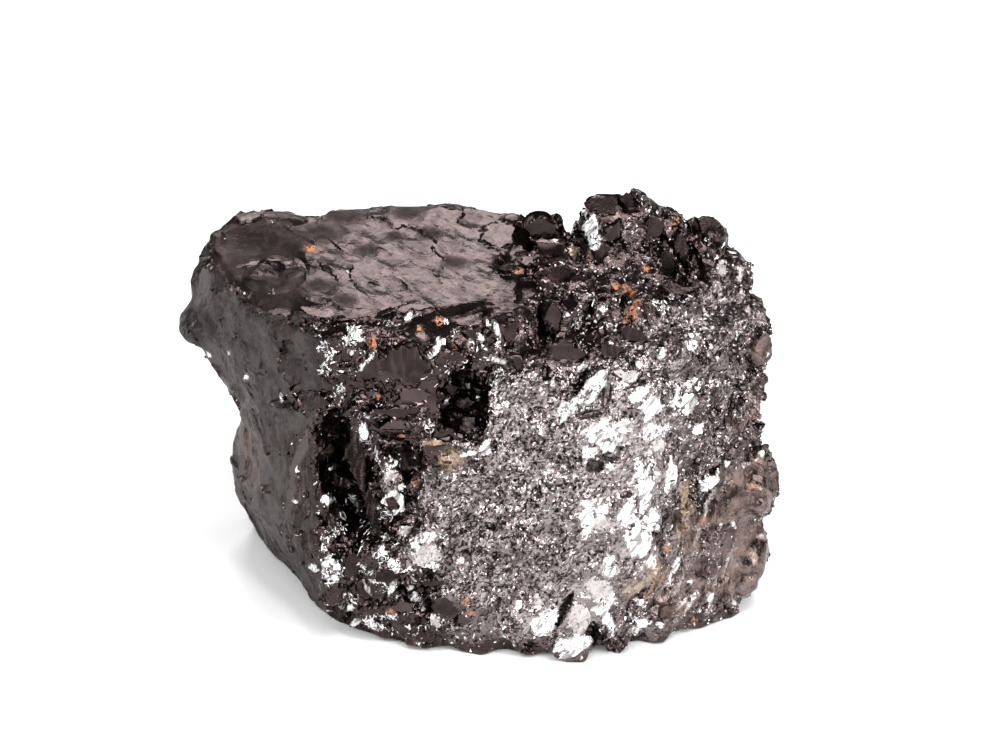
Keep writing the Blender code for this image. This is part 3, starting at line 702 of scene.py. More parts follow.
# Patterns of the material: size, detail and roughness.
SPECKLES = {
    "cloud": (2.4, 3.0, 0.6),
    "grit": (0.24, 2.0, 0.7),
    "smear": (1.1, 3.0, 0.6),
    "mottle": (1.3, 3.0, 0.65),
    "gaps": (0.33, 1.0, 0.6),
    "crushed": (1.5, 2.0, 0.6),
    "relief": (0.9, 2.0, 0.6),
}
# Where each pattern turns from off to on.
STEPS = {
    "mottle": (0.3, 0.62),
    "lines": (0.46, 0.68),
    "leaves": (0.5, 0.62),
    "gaps": (0.39, 0.47),
    "cracks": (0.005, 0.045),
    "strokes": (0.38, 0.5),
    "fresh_glint": (0.2, 0.4),
    "brown": (0.57, 0.93),
    "clay": (0.35, 0.6),
    "rust": (0.4, 0.5),
    "crushed": (0.47, 0.6),
}
# How dark and how light each finish gets, against its colour.
GLASS_TONES = (0.3, 4.0)
WALL_TONES = (0.6, 1.25)
LINE_TONES = (0.4, 1.6)
# The leaves of painted shade on the top are this dark against the glass.
LEAF_TONE = 0.5
# How far patterns are drawn out: across, through and along.
LINE_STRETCH = (1.8, 1.8, 0.25)
LEAF_STRETCH = (0.75, 0.4, 1.0)
CRACK_STRETCH = (0.67, 1.0, 1.7)
STROKE_STRETCH = (0.4, 1.0, 1.5)
FACET_STRETCH = (0.8, 1.2, 2.0)
# Facets finer than the mesh, and the relief of the bump.
FINE_FACET = 0.26
COARSE_FACET = 0.6
BUMP_STRENGTH = 0.2
BUMP_DEPTH = 0.12
GLANCING_TINT = (0.75, 0.73, 0.73, 1)
FLOOR_ROUGHNESS = 0.6


def number_of(name, description, default, most=9000):
    """A setting for a number of things."""
    return IntProperty(name=name, description=description, default=default, min=0, max=most)


def length_of(name, description, default):
    """A setting for a length."""
    return FloatProperty(name=name, description=description, default=default, unit="LENGTH")


def colour_of(name, description, default):
    """A setting for a colour."""
    return FloatVectorProperty(
        name=name, description=description, default=default, subtype="COLOR", size=3, min=0, max=1,
    )


class ShungiteSkinSettings(bpy.types.PropertyGroup):
    """Sizes of the chunk's skin."""

    grid: FloatProperty(
        name="Grid", description="Edge of the grid that the skin is rebuilt on",
        default=0.0002, min=0.0001, unit="LENGTH", precision=5,
    )
    triangles: IntProperty(
        name="Triangles", description="Triangles left in the finished skin",
        default=198000, min=20000, max=199000,
    )
    softening: number_of("Softening", "Rounds of smoothing before the skin is broken up", 6, 60)
    rounding: number_of("Rounding", "More rounds of smoothing where it is rounded", 60, 200)
    relief: FloatProperty(
        name="Relief", description="Depth of the fractures, against the modelled depth",
        default=1.0, min=0.0, max=2.0, subtype="FACTOR",
    )


class ShungiteGrainSettings(bpy.types.PropertyGroup):
    """Numbers of angular grains that sit in the skin."""

    silver: number_of("Silver grains", "Small grains in the silvery face", 5200)
    rubble: number_of("Rubble grains", "Black grains in the broken crest, brow and foot", 7000)
    blocks: number_of("Blocks", "Larger broken blocks in the crest, brow and foot", 420)
    # Blades, sparks and flakes are painted white as glints.
    blades: number_of("Bright blades", "Thin bright slivers in the rubble", 3500)
    sparks: number_of("Bright sparks", "Small bright grains in the crest and the flank", 2200)
    flakes: number_of("Fresh flakes", "Bright flakes in the fresh fractures", 1500)


class ShungiteColourSettings(bpy.types.PropertyGroup):
    """Colours of the chunk."""

    glass: colour_of(
        "Black glass", "Colour of the smooth, glassy fractures", (0.060, 0.044, 0.042))
    silver: colour_of(
        "Silver grain", "Colour of the granular, silvery face", (0.44, 0.385, 0.38))
    wall: colour_of("Left wall", "Colour of the matt left wall", (0.076, 0.067, 0.065))
    # The fresh fractures' white is a painted glint.
    fresh_glint: colour_of(
        "Fresh fracture", "Colour of the brightest, fresh fractures", (0.96, 0.95, 0.95))
    rust: colour_of("Rust", "Colour of the rust stains", (0.43, 0.185, 0.10))
    clay: colour_of("Clay", "Colour of the tan, clayey stains", (0.36, 0.25, 0.16))
    brown: colour_of("Weathering", "Colour of the brown, weathered side", (0.20, 0.138, 0.118))


class ShungiteStageSettings(bpy.types.PropertyGroup):
    """The studio around the chunk."""

    floor_size: length_of("Floor", "Length and width of the floor", 4.0)
    floor_colour: colour_of("Floor colour", "Colour of the floor", (0.86, 0.86, 0.86))
    camera_height: length_of("Camera height", "Height of the camera over the floor", 0.2156)
    camera_distance: length_of(
        "Camera distance", "How far the camera stands in front of the chunk", 0.366)
    camera_pitch: FloatProperty(
        name="Camera pitch", description="How far down the camera looks",
        default=math.radians(28.0), subtype="ANGLE",
    )
    focal_length: FloatProperty(
        name="Focal length", description="Focal length of the camera, in millimetres",
        default=174.46, min=20.0,
    )


def ramp(value, low, high):
    """0 up to low, 1 from high, and straight between them, for a number or an array."""
    return np.clip((value - low) / (high - low), 0.0, 1.0)


def noise_at(places, size):
    """Smooth noise of one size at each place, as an array."""
    return np.array([noise.noise(Vector(place) / size) for place in places])


def random_tilt(spot):
    """A seeded vector with each part between -1 and 1, one for each unit cell of space."""
    return noise.cell_vector(spot) * 2 - Vector((1, 1, 1))


def facets(place, size, slope, bowl):
    """Height of facets of one size, each hollow and tilted its own way, that meet in ridges."""
    spot = place / size
    distances, centres = noise.voronoi(spot, distance_metric="DISTANCE_SQUARED")
    height = math.inf
    for distance, centre in zip(distances, centres):
        tilt = random_tilt(centre * 7)
        height = min(height, bowl * distance + slope * tilt.dot(spot - centre) + 0.15 * tilt.z)
    return (height - 0.1 * bowl) * size


def drawn_out(place, direction, length):
    """The place squeezed along a direction, so that a pattern there comes out long along it."""
    return place - direction * place.dot(direction) * (1 - 1 / length)


def zones(points, normals):
    """How far each spot belongs to each zone of the chunk, by name, as arrays."""
    x, y, z = points.T
    rightward, backward, upward = normals.T
    uneven = noise_at(points, 2.3)

    def within(value, edge):
        return ramp(value, *ZONE_EDGES[edge])

    top = within(upward, "top_slope") * within(z, "top_height")
    top = top * within(5.0 * uneven - x, "top_end")
    wall = within(0.25 * uneven - rightward, "wall_slope") * within(-x, "wall_side") * (1 - top)
    wall = np.maximum(wall, within(-x, "wall_ear") * (1 - top))
    return {
        "flat_top": top,
        "wall": wall,
        "back": within(backward, "back_slope"),
        "flank": within(x, "flank_side") * within(-z, "flank_height"),
        "crest": within(z, "crest_height") * within(x, "crest_side") * (1 - top),
        "rim": within(z, "rim_height") * within(-x, "rim_side"),
        "corner": (within(-x, "corner_side") * within(-y, "corner_front")
                   * within(-z, "corner_height") * wall),
        "foot": within(-z, "foot_height") * within(-x, "foot_side"),
    }


def camera_place():
    stage = bpy.context.scene.shungite_stage
    return Vector((SHIFT.x * MM, SHIFT.y * MM - stage.camera_distance, stage.camera_height))


def camera_turn():
    """How the camera is turned, as a matrix."""
    pitch = bpy.context.scene.shungite_stage.camera_pitch
    return Matrix.Rotation(math.radians(90) - pitch, 3, "X")


def seen_at(tree, column, row):
    """The spot of the stone that the camera sees at a place of its image, and the normal there."""
    focal = bpy.context.scene.shungite_stage.focal_length / SENSOR_WIDTH * IMAGE_WIDTH
    sideways = (column - IMAGE_WIDTH / 2) / focal
    upward = (IMAGE_HEIGHT / 2 - row) / focal
    sight = (camera_turn() @ Vector((sideways, upward, -1))).normalized()
    hit, normal = tree.ray_cast(camera_place(), sight)[:2]
    return (None if hit is None else hit / MM - SHIFT), normal


def spot_mask(points, tree, spots, edge=0.35):
    """For each point, how far it lies in one of the named spots."""
    mask = np.zeros(len(points))
    for column, row, radius in spots.values():
        spot = seen_at(tree, column, row)[0]
        if spot:
            distance = np.linalg.norm(points - np.array(spot), axis=1)
            mask = np.maximum(mask, ramp(radius - distance, -edge * radius, edge * radius))
    return mask


def link(name, mesh):
    made = bpy.data.objects.new(name, mesh)
    bpy.context.scene.collection.objects.link(made)
    return made


def mesh_of(bm, name):
    """A finished bmesh as a mesh."""
    mesh = bpy.data.meshes.new(name)
    bm.to_mesh(mesh)
    bm.free()
    return mesh


def solid_copy(name):
    """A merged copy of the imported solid's loose triangles."""
    bm = bmesh.new()
    bm.from_mesh(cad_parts[NODE].data)
    bmesh.ops.remove_doubles(bm, verts=bm.verts, dist=1e-7)
    return link(name, mesh_of(bm, name))


def keep_modified(stone):
    """Keeps the mesh that the modifiers make, and drops the modifiers."""
    graph = bpy.context.evaluated_depsgraph_get()
    made = bpy.data.meshes.new_from_object(stone.evaluated_get(graph))
    stone.modifiers.clear()
    old, stone.data = stone.data, made
    bpy.data.meshes.remove(old)


def regrid(stone, edge):
    """Rebuilds the skin on an even grid."""
    modifier = stone.modifiers.new("grid", "REMESH")
    modifier.mode = "VOXEL"
    modifier.voxel_size = edge
    keep_modified(stone)


def soften(stone, rounds, weights=()):
    """Melts the solid's flat triangles into one another, everywhere or by weight."""
    modifier = stone.modifiers.new("soften", "SMOOTH")
    modifier.factor = 0.5
    modifier.iterations = rounds
    if len(weights):
        group = stone.vertex_groups.new(name="soften")
        for index in np.nonzero(weights)[0]:
            group.add([int(index)], weights[index], "REPLACE")
        modifier.vertex_group = group.name
    keep_modified(stone)
    stone.vertex_groups.clear()


def thin_out(stone, triangles):
    """Thins the skin to a count of triangles, first where it is flat."""
    stone.data.calc_loop_triangles()
    modifier = stone.modifiers.new("thin_out", "DECIMATE")
    modifier.ratio = min(1.0, triangles / len(stone.data.loop_triangles))
    keep_modified(stone)


def gathered(items, field, width=3):
    """One value of each point or face of a mesh, as an array."""
    values = np.empty(len(items) * width)
    items.foreach_get(field, values)
    return values.reshape(-1, width)


def corner_arrays(mesh):
    """The places, in working millimetres, and the normals of a mesh's points."""
    places = gathered(mesh.vertices, "co")
    return places / MM - np.array(SHIFT), gathered(mesh.vertices, "normal")


def face_arrays(mesh):
    """The middles, in working millimetres, the normals and the areas of a mesh's faces."""
    middles = gathered(mesh.polygons, "center") / MM - np.array(SHIFT)
    areas = gathered(mesh.polygons, "area", 1)[:, 0]
    return middles, gathered(mesh.polygons, "normal"), areas


def tree_of(mesh):
    corners = [vert.co for vert in mesh.vertices]
    return BVHTree.FromPolygons(corners, [tuple(face.vertices) for face in mesh.polygons])


def layer_weights(places, zone, silver, calm):
    """How strongly each layer of fractures shows at each point, by name."""
    bare = 1 - calm
    patchy = ramp(noise_at(places, 3.1), -0.25, 0.35)
    rough = (1 - zone["flat_top"]) * (1 - zone["wall"]) * (1 - silver)
    top = zone["flat_top"] * (1 - 0.85 * calm)
    return {
        "rough": rough * (1 - 0.3 * zone["back"]) * (1 - 0.7 * calm),
        "rough_fine": rough * bare * (0.2 + 0.8 * patchy),
        "silver": silver * bare,
        "silver_fine": silver * bare,
        "top": top,
        "top_fine": top,
        "wall": zone["wall"],
        "wall_fine": zone["wall"] * (0.4 + 0.6 * patchy),
        "corner": zone["corner"],
        "hollow": zone["hollow"],
        "flank": zone["flank"] * bare,
    }


def seen_from_camera(points, spot, width, height, roll):
    """Where points lie across an oval of the image, as parts of its half width and height."""
    turn = Matrix.Rotation(math.radians(roll), 3, "Z")
    right, up = turn @ Vector((1, 0, 0)), turn @ Vector((0, 1, 0))
    to_world = camera_turn()
    away = points - np.array(spot)
    across = away @ np.array(to_world @ right) / (width / 2)
    along = away @ np.array(to_world @ up) / (height / 2)
    deep = away @ np.array(to_world @ Vector((0, 0, 1)))
    return across, along, np.abs(deep) < PANEL_REACH


def frayed_edges(points):
    """How far the outlines of the panels stray at each point."""
    drawn = [drawn_out(Vector(point), FACE_GRAIN, 2.2) for point in points]
    return np.array([0.3 * noise.noise(place / 0.45) + 0.2 * noise.noise(place / 1.3)
                     for place in drawn])


def panel_mask(points, frayed, name, spot, edge):
    """For each point, how far it lies in a panel's uneven outline, which its name seeds."""
    width, height, roll = PANELS[name][2:5]
    across, along, near = seen_from_camera(points, spot, width, height, roll)
    chance = random.Random(name)
    inside = np.full(len(points), math.inf)
    sides = chance.randint(*PANEL_SIDES)
    for side in range(sides):
        angle = math.tau * (side + chance.uniform(-PANEL_STRAY, PANEL_STRAY)) / sides
        reach = chance.uniform(*PANEL_SPREAD)
        across_side = across * math.cos(angle) + along * math.sin(angle)
        inside = np.minimum(inside, reach - across_side)
    half = min(width, height) / 2
    return ramp(inside * half + frayed * min(1.0, half), -edge, edge) * near


def lay_panels(places, normals, tree, height):
    """Lays each panel's flat facet in the skin: the height of every point, with the panels."""
    frayed = frayed_edges(places)
    for name, (column, row, _, _, _, heading, rise, _) in PANELS.items():
        spot, own = seen_at(tree, column, row)
        if spot is None:
            continue
        heading, rise = math.radians(heading), math.radians(rise)
        bulge = -min(0.0, hollow_depths(np.array([spot]), tree)[0])
        level = math.cos(rise)
        wanted = Vector((math.sin(heading) * level, -math.cos(heading) * level, math.sin(rise)))
        out = (wanted + own * PANEL_YIELD).normalized()
        facing = normals @ np.array(out)
        mask = panel_mask(places, frayed, name, spot, PANEL_EDGE) * ramp(facing, 0.25, 0.45)
        gap = (np.array(spot + out * (PANEL_LIFT + bulge)) - places) @ np.array(out)
        sunk, lifted = PANEL_RANGE
        flat = np.clip(gap / np.maximum(facing, 0.3), sunk, lifted + bulge)
        height = height * (1 - mask) + flat * mask
    return height


def hollow_depths(places, tree):
    """How deep the named hollows run at each point."""
    depths = np.zeros(len(places))
    for column, row, width, height, roll, depth in HOLLOWS.values():
        spot = seen_at(tree, column, row)[0]
        if spot:
            across, along, near = seen_from_camera(places, spot, width, height, roll)
            depths += depth * (ramp(1 - across * across - along * along, *HOLLOW_SIDE) * near)
    return depths


def cut_gaps(places, tree):
    """Lowers what stands over the named gaps, down the camera's image."""
    lean = bpy.context.scene.shungite_stage.camera_pitch
    down = np.array((0.0, -math.sin(lean), -math.cos(lean)))
    for column, row, width, height in GAPS.values():
        spot = seen_at(tree, column, row)[0]
        if spot:
            across, along = seen_from_camera(places, spot, width, 2.0, 0.0)[:2]
            floor = height * ramp(np.abs(across), GAP_FOOT, 1.0)
            over = np.maximum(along - floor, 0.0) * (np.abs(across) < 1)
            places += over[:, None] * down


def break_up(stone, relief):
    """Breaks the skin up, zone by zone, and leaves its foot flat."""
    mesh = stone.data
    places, normals = corner_arrays(mesh)
    tree = tree_of(mesh)
    zone = zones(places, normals)
    silver = spot_mask(places, tree, SILVER_SPOTS)
    hollow = hollow_depths(places, tree)
    zone["hollow"] = ramp(hollow, *DEEP)
    calm = np.maximum(spot_mask(places, tree, CALM_SPOTS), zone["hollow"])
    weights = layer_weights(places, zone, silver, calm)
    height = np.zeros(len(places))
    for name, (size, depth, slope, bowl, grain, length) in LAYERS.items():
        weight = weights[name]
        for index in np.nonzero(weight > FAINT)[0]:
            place = drawn_out(Vector(places[index]), grain, length)
            height[index] += weight[index] * depth * facets(place, size, slope, bowl)
    height = height + RELIEF_LIFT * (1 - calm) * (1 - zone["flat_top"])
    height = np.clip(height, *RELIEF_RANGE) * relief - hollow
    height = lay_panels(places, normals, tree, height)
    height *= ramp(places[:, 2], *FOOT_EDGE)
    places += normals * height[:, None]
    cut_gaps(places, tree)
    moved = (places + np.array(SHIFT)) * MM
    moved[:, 2] = np.maximum(moved[:, 2], 0.0)
    mesh.vertices.foreach_set("co", moved.ravel())
    mesh.update()


def cells_around(places, size):
    """The middle of the cell that each place falls in, and a random tone for it."""
    middles = np.empty_like(places)
    tones = np.empty(len(places))
    for index, place in enumerate(places):
        middle = noise.voronoi(drawn_out(Vector(place), FACE_GRAIN, 2.0) / size)[1][0]
        middles[index] = drawn_out(middle * size, FACE_GRAIN, 0.5)
        tones[index] = noise.cell(middle * 7)
    return middles, tones


def flank_streaks(places, flank):
    """Streaks that the silver is drawn out in on the flank, and 1 everywhere else."""
    streaks = np.array([noise.noise(drawn_out(Vector(place), FLANK_GRAIN, 6.0) / 0.45)
                        for place in places])
    return 1 - flank + flank * ramp(streaks, -0.35, 0.35) * 1.3


def finish_of(mesh):
    """Which finish each face of the skin has, by name, as arrays."""
    tree = tree_of(mesh)
    places, normals, _ = face_arrays(mesh)
    zone = zones(places, normals)
    cells, tones = cells_around(places, FINISH_CELL)
    astray = places + np.array([noise.noise_vector(Vector(place) / 0.5) for place in places]) * 0.3
    pale = spot_mask(astray, tree, PALE_SPOTS, 0.4)
    silver = spot_mask(cells, tree, SILVER_SPOTS, 0.2)
    grey = spot_mask(cells, tree, GREY_SPOTS, 0.2)
    wall_dark = zone["wall"] * ramp(places[:, 2], *ZONE_EDGES["wall_dark"])
    finish = {
        **zone,
        "silver": np.maximum(silver, 0.6 * grey) * flank_streaks(places, zone["flank"]),
        "fresh_glint": np.maximum(spot_mask(cells, tree, FRESH_GLINT_SPOTS, 0.2), 0.09 * pale),
        "matt": np.maximum(spot_mask(places, tree, SHADED_SPOTS, 0.5),
                           0.22 * zone["crest"] * (1 - silver)),
        # Painted shade darkens the foot; the corner takes the same darker, lined glass as its
        # striations.
        "shade": np.maximum(0.7 * zone["corner"], 0.6 * zone["foot"]),
        "rust": spot_mask(astray, tree, RUST_SPOTS, 0.4),
        "clay": spot_mask(astray, tree, CLAY_SPOTS, 0.6),
        "brown": spot_mask(places, tree, BROWN_SPOTS, 0.4),
        "calm": np.maximum(spot_mask(places, tree, CALM_SPOTS), 0.38 * pale),
        "tone": tones,
        "light": 0.16 * zone["crest"] - 0.5 * wall_dark,
        "glints": spot_mask(places, tree, GLINT_SPOTS, 0.6),
    }
    finish_hollows(finish, places, tree)
    finish_panels(finish, places, tree)
    return finish


def finish_hollows(finish, places, tree):
    """Paints shade into the named hollows, roughens them, and clears them of silver and grains."""
    deep = ramp(hollow_depths(places, tree), *DEEP)
    finish["shade"] = np.maximum(finish["shade"], deep)
    finish["calm"] = np.maximum(finish["calm"], 0.8 * deep)
    finish["matt"] = np.maximum(finish["matt"], 0.45 * deep)
    finish["silver"] = finish["silver"] * (1 - 0.8 * deep)


def finish_panels(finish, places, tree):
    """Gives each panel's faces its look, and no other."""
    frayed = frayed_edges(places)
    for name, (column, row, *_, look) in PANELS.items():
        spot = seen_at(tree, column, row)[0]
        if spot is None:
            continue
        mask = panel_mask(places, frayed, name, spot, LOOK_EDGE)
        for finish_name in PANEL_FINISHES:
            value = LOOKS[look].get(finish_name, 0.0)
            finish[finish_name] = finish[finish_name] * (1 - mask) + value * mask


def write_finish(mesh, finish):
    for name in FINISHES:
        layer = mesh.attributes.new(name, "FLOAT", "FACE")
        layer.data.foreach_set("value", np.asarray(finish[name], dtype=np.float32))


def block_shape(chance, flatness):
    """A broken block, about 1 across, with few and flat faces, as a mesh."""
    bm = bmesh.new()
    bmesh.ops.create_cube(bm, size=1.0)
    for _ in range(BLOCK_CUTS):
        way = Vector([chance.gauss(0, 1) for _ in range(3)]).normalized()
        cut_away(bm, way * chance.uniform(*BLOCK_REACH), way)
    bmesh.ops.scale(bm, vec=(1, 0.85, flatness), verts=bm.verts)
    bmesh.ops.recalc_face_normals(bm, faces=bm.faces)
    return mesh_of(bm, "block_shape")


def cut_away(bm, place, way):
    """Cuts off what lies beyond a plane, and closes the cut with one flat face."""
    cut = bmesh.ops.bisect_plane(bm, geom=[*bm.verts, *bm.edges, *bm.faces], dist=1e-6,
                                 plane_co=place, plane_no=way, clear_outer=True)
    rim = [part for part in cut["geom_cut"] if isinstance(part, bmesh.types.BMEdge)]
    if len(rim) > 2:
        bmesh.ops.contextual_create(bm, geom=rim)


def grain_shape(chance, flatness):
    """A small angular grain, about 1 across, as a mesh."""
    bm = bmesh.new()
    while len(bm.verts) < GRAIN_CORNERS:
        corner = Vector([chance.uniform(-1, 1) for _ in range(3)])
        if 0.3 < corner.length < 1:
            corner = corner.normalized() * 0.5
            bm.verts.new((corner.x, corner.y * 0.8, corner.z * flatness))
    bmesh.ops.convex_hull(bm, input=bm.verts)
    bmesh.ops.recalc_face_normals(bm, faces=bm.faces)
    return mesh_of(bm, "grain_shape")


def streak_shape(chance, flatness):
    """A small grain, about 1 long, drawn out along its Y, as a mesh."""
    mesh = grain_shape(chance, flatness)
    mesh.transform(Matrix.Diagonal((0.45, 1.25, 0.9, 1.0)))
    return mesh


def blade_shape(chance, flatness):
    """A thin sliver, about 1 long, as a mesh."""
    mesh = grain_shape(chance, flatness)
    mesh.transform(Matrix.Diagonal((1.0, 0.26, 0.35, 1.0)))
    return mesh


# What a grain is like where its kind says nothing else.
ANY_GRAIN = {"shape": grain_shape, "lean": 0.9, "spins": (0.0, math.tau), "bright": 0.0}
# Each kind of grain: the setting with its number, smallest and largest size, how deep it is
# sunk against its size, how far it leans, how it is turned, what share of it is painted white as
# glints, and its shape and finish.
GRAINS = {
    "silver_grains": {"number": "silver", "sizes": (0.25, 1.0), "sink": 0.15, "lean": 0.7,
                      "spins": STREAK_SPINS, "shape": streak_shape},
    "rubble_grains": {"number": "rubble", "sizes": (0.25, 1.3), "sink": 0.25, "bright": 0.13},
    "broken_blocks": {"number": "blocks", "sizes": (0.9, 2.1), "sink": 0.62, "lean": 0.6,
                      "shape": block_shape, "finish": {"calm": 0.7, "light": BLOCK_LIGHT}},
    "fresh_glint_flakes": {"number": "flakes", "sizes": (0.3, 1.1), "sink": 0.26,
                     "bright": ALL_BRIGHT},
    "glint_sparks": {"number": "sparks", "sizes": (0.16, 0.45), "sink": 0.1,
                      "bright": ALL_BRIGHT},
    "glint_blades": {"number": "blades", "sizes": (0.3, 1.25), "sink": 0.06, "lean": 0.45,
                      "bright": ALL_BRIGHT, "shape": blade_shape},
}


def likely_places(skin, finish):
    """How likely each kind of grain is at each face, by name, in the order of making."""
    bare = (1 - finish["calm"]) * (1 - finish["flat_top"]) * (1 - finish["wall"])
    bare = bare * (1 - finish["rim"] * finish["back"])
    grainy = finish["fresh_glint"] < 0.3
    broken = bare * (1 - finish["silver"]) * (1 - 0.6 * finish["back"])
    broken = broken * grainy * (finish["rust"] < 0.3)
    heaped = broken * (1 - finish["flank"]) * (1 - finish["brown"]) * (1 - finish["fresh_glint"])
    clusters = ramp(noise_at(face_arrays(skin.data)[0], 1.4), 0.05, 0.3)
    return {
        "silver_grains": finish["silver"] * bare * grainy,
        "rubble_grains": broken,
        "broken_blocks": heaped,
        # Flakes, sparks and blades are painted white as glints.
        "fresh_glint_flakes": finish["fresh_glint"] ** 2 * (finish["calm"] < 0.5),
        "glint_sparks": broken * (0.15 + finish["crest"] + 1.7 * finish["flank"]),
        "glint_blades": heaped * ((0.08 + finish["glints"]) * clusters),
    }


def grain_matrix(kind, size, middle, out, chance):
    """A random place and turn for a grain on a face, or None where it would meet the floor."""
    place = middle + SHIFT - out * size * kind["sink"] * chance.uniform(*GRAIN_SINKING)
    if place.z < size * GRAIN_CLEARANCE:
        return None
    lean = Vector([chance.uniform(-kind["lean"], kind["lean"]) for _ in range(3)])
    turn = (out + lean).to_track_quat("Z", "Y").to_matrix().to_4x4()
    spin = Matrix.Rotation(chance.uniform(*kind["spins"]), 4, "Z")
    return Matrix.Translation(place * MM) @ turn @ spin @ Matrix.Scale(size * MM, 4)


def scatter(name, skin, finish, likely, count, chance):
    """Angular grains, sunk in the skin's faces, more of them where they are likely."""
    kind = {**ANY_GRAIN, **GRAINS[name]}
    least, most = kind["sizes"]
    shapes = [kind["shape"](chance, chance.uniform(*GRAIN_FLATNESS)) for _ in range(GRAIN_SHAPES)]
    middles, normals, areas = face_arrays(skin.data)
    totals = np.cumsum(areas * likely)
    bm = bmesh.new()
    made = {finish_name: [] for finish_name in FINISHES}
    for _ in range(count):
        face = int(np.searchsorted(totals, chance.random() * totals[-1]))
        face = min(face, len(middles) - 1)
        size = least * (most / least) ** (chance.random() ** GRAIN_SKEW)
        matrix = grain_matrix(kind, size, Vector(middles[face]), Vector(normals[face]), chance)
        if matrix is None:
            continue
        shape = chance.choice(shapes).copy()
        shape.transform(matrix)
        bm.from_mesh(shape)
        faces = len(shape.polygons)
        bpy.data.meshes.remove(shape)
        # Some grains are painted white as glints.
        glinting = chance.random() < kind["bright"] * (1.6 - size)
        own = {"tone": chance.random(), "fresh_glint": 1.0 if glinting else 0.0, **kind.get("finish", {})}
        for finish_name in FINISHES:
            value = own.get(finish_name, finish[finish_name][face])
            made[finish_name].extend([value] * faces)
    for shape in shapes:
        bpy.data.meshes.remove(shape)
    mesh = mesh_of(bm, name)
    write_finish(mesh, made)
    return link(name, mesh)


class Number:
    """A socket that takes part in Python arithmetic by adding Math nodes."""

    def __init__(self, maker, socket):
        self.maker = maker
        self.socket = socket

    def _math(self, operation, first, second, clamp=False):
        settings = {"operation": operation, "use_clamp": clamp}
        return self.maker.number("ShaderNodeMath", settings, {0: first, 1: second})

    def __add__(self, other):
        return self._math("ADD", self, other)

    __radd__ = __add__

    def __sub__(self, other):
        return self._math("SUBTRACT", self, other)

    def __rsub__(self, other):
        return self._math("SUBTRACT", other, self)

    def __mul__(self, other):
        return self._math("MULTIPLY", self, other)

    __rmul__ = __mul__

    def clamped(self):
        return self._math("ADD", self, 0.0, clamp=True)


class Finish:
    """A material whose nodes are added by calls."""

    def __init__(self, name):
        self.material = bpy.data.materials.new(name)
        self.material.use_nodes = True
        self.tree = self.material.node_tree
        self.shader = self.tree.nodes["Principled BSDF"]

    def node(self, kind, settings=None, values=None):
        """Adds a node, sets it up, and gives its sockets their values or links."""
        made = self.tree.nodes.new(kind)
        for name, value in (settings or {}).items():
            setattr(made, name, value)
        for name, value in (values or {}).items():
            self.feed(made.inputs[name], value)
        return made

    def feed(self, socket, value):
        if isinstance(value, Number):
            self.tree.links.new(value.socket, socket)
        elif isinstance(value, bpy.types.NodeSocket):
            self.tree.links.new(value, socket)
        else:
            socket.default_value = value

    def number(self, kind, settings=None, values=None, output=0):
        return Number(self, self.node(kind, settings, values).outputs[output])

    def vectors(self, operation, values):
        return self.node("ShaderNodeVectorMath", {"operation": operation}, values).outputs[0]

    def mixed(self, factor, first, second):
        """A colour between two colours."""
        values = {"Factor": factor, 6: first, 7: second}
        return self.node("ShaderNodeMix", {"data_type": "RGBA"}, values).outputs[2]

    def noise(self, place, scale, detail, roughness=0.5):
        values = {"Vector": place, "Scale": scale, "Detail": detail, "Roughness": roughness}
        return self.number("ShaderNodeTexNoise", None, values, "Fac")

    def step(self, number, name):
        """A number as 0 and 1, with a soft step between, where its pattern turns on."""
        low, high = STEPS[name]
        settings = {"interpolation_type": "SMOOTHSTEP"}
        values = {"Value": number, "From Min": low, "From Max": high}
        return self.number("ShaderNodeMapRange", settings, values)


def opaque(colour):
    return (*colour, 1.0)


def tones_of(colour, tones):
    """A colour made darker and lighter."""
    return [(*[channel * times for channel in colour], 1.0) for times in tones]


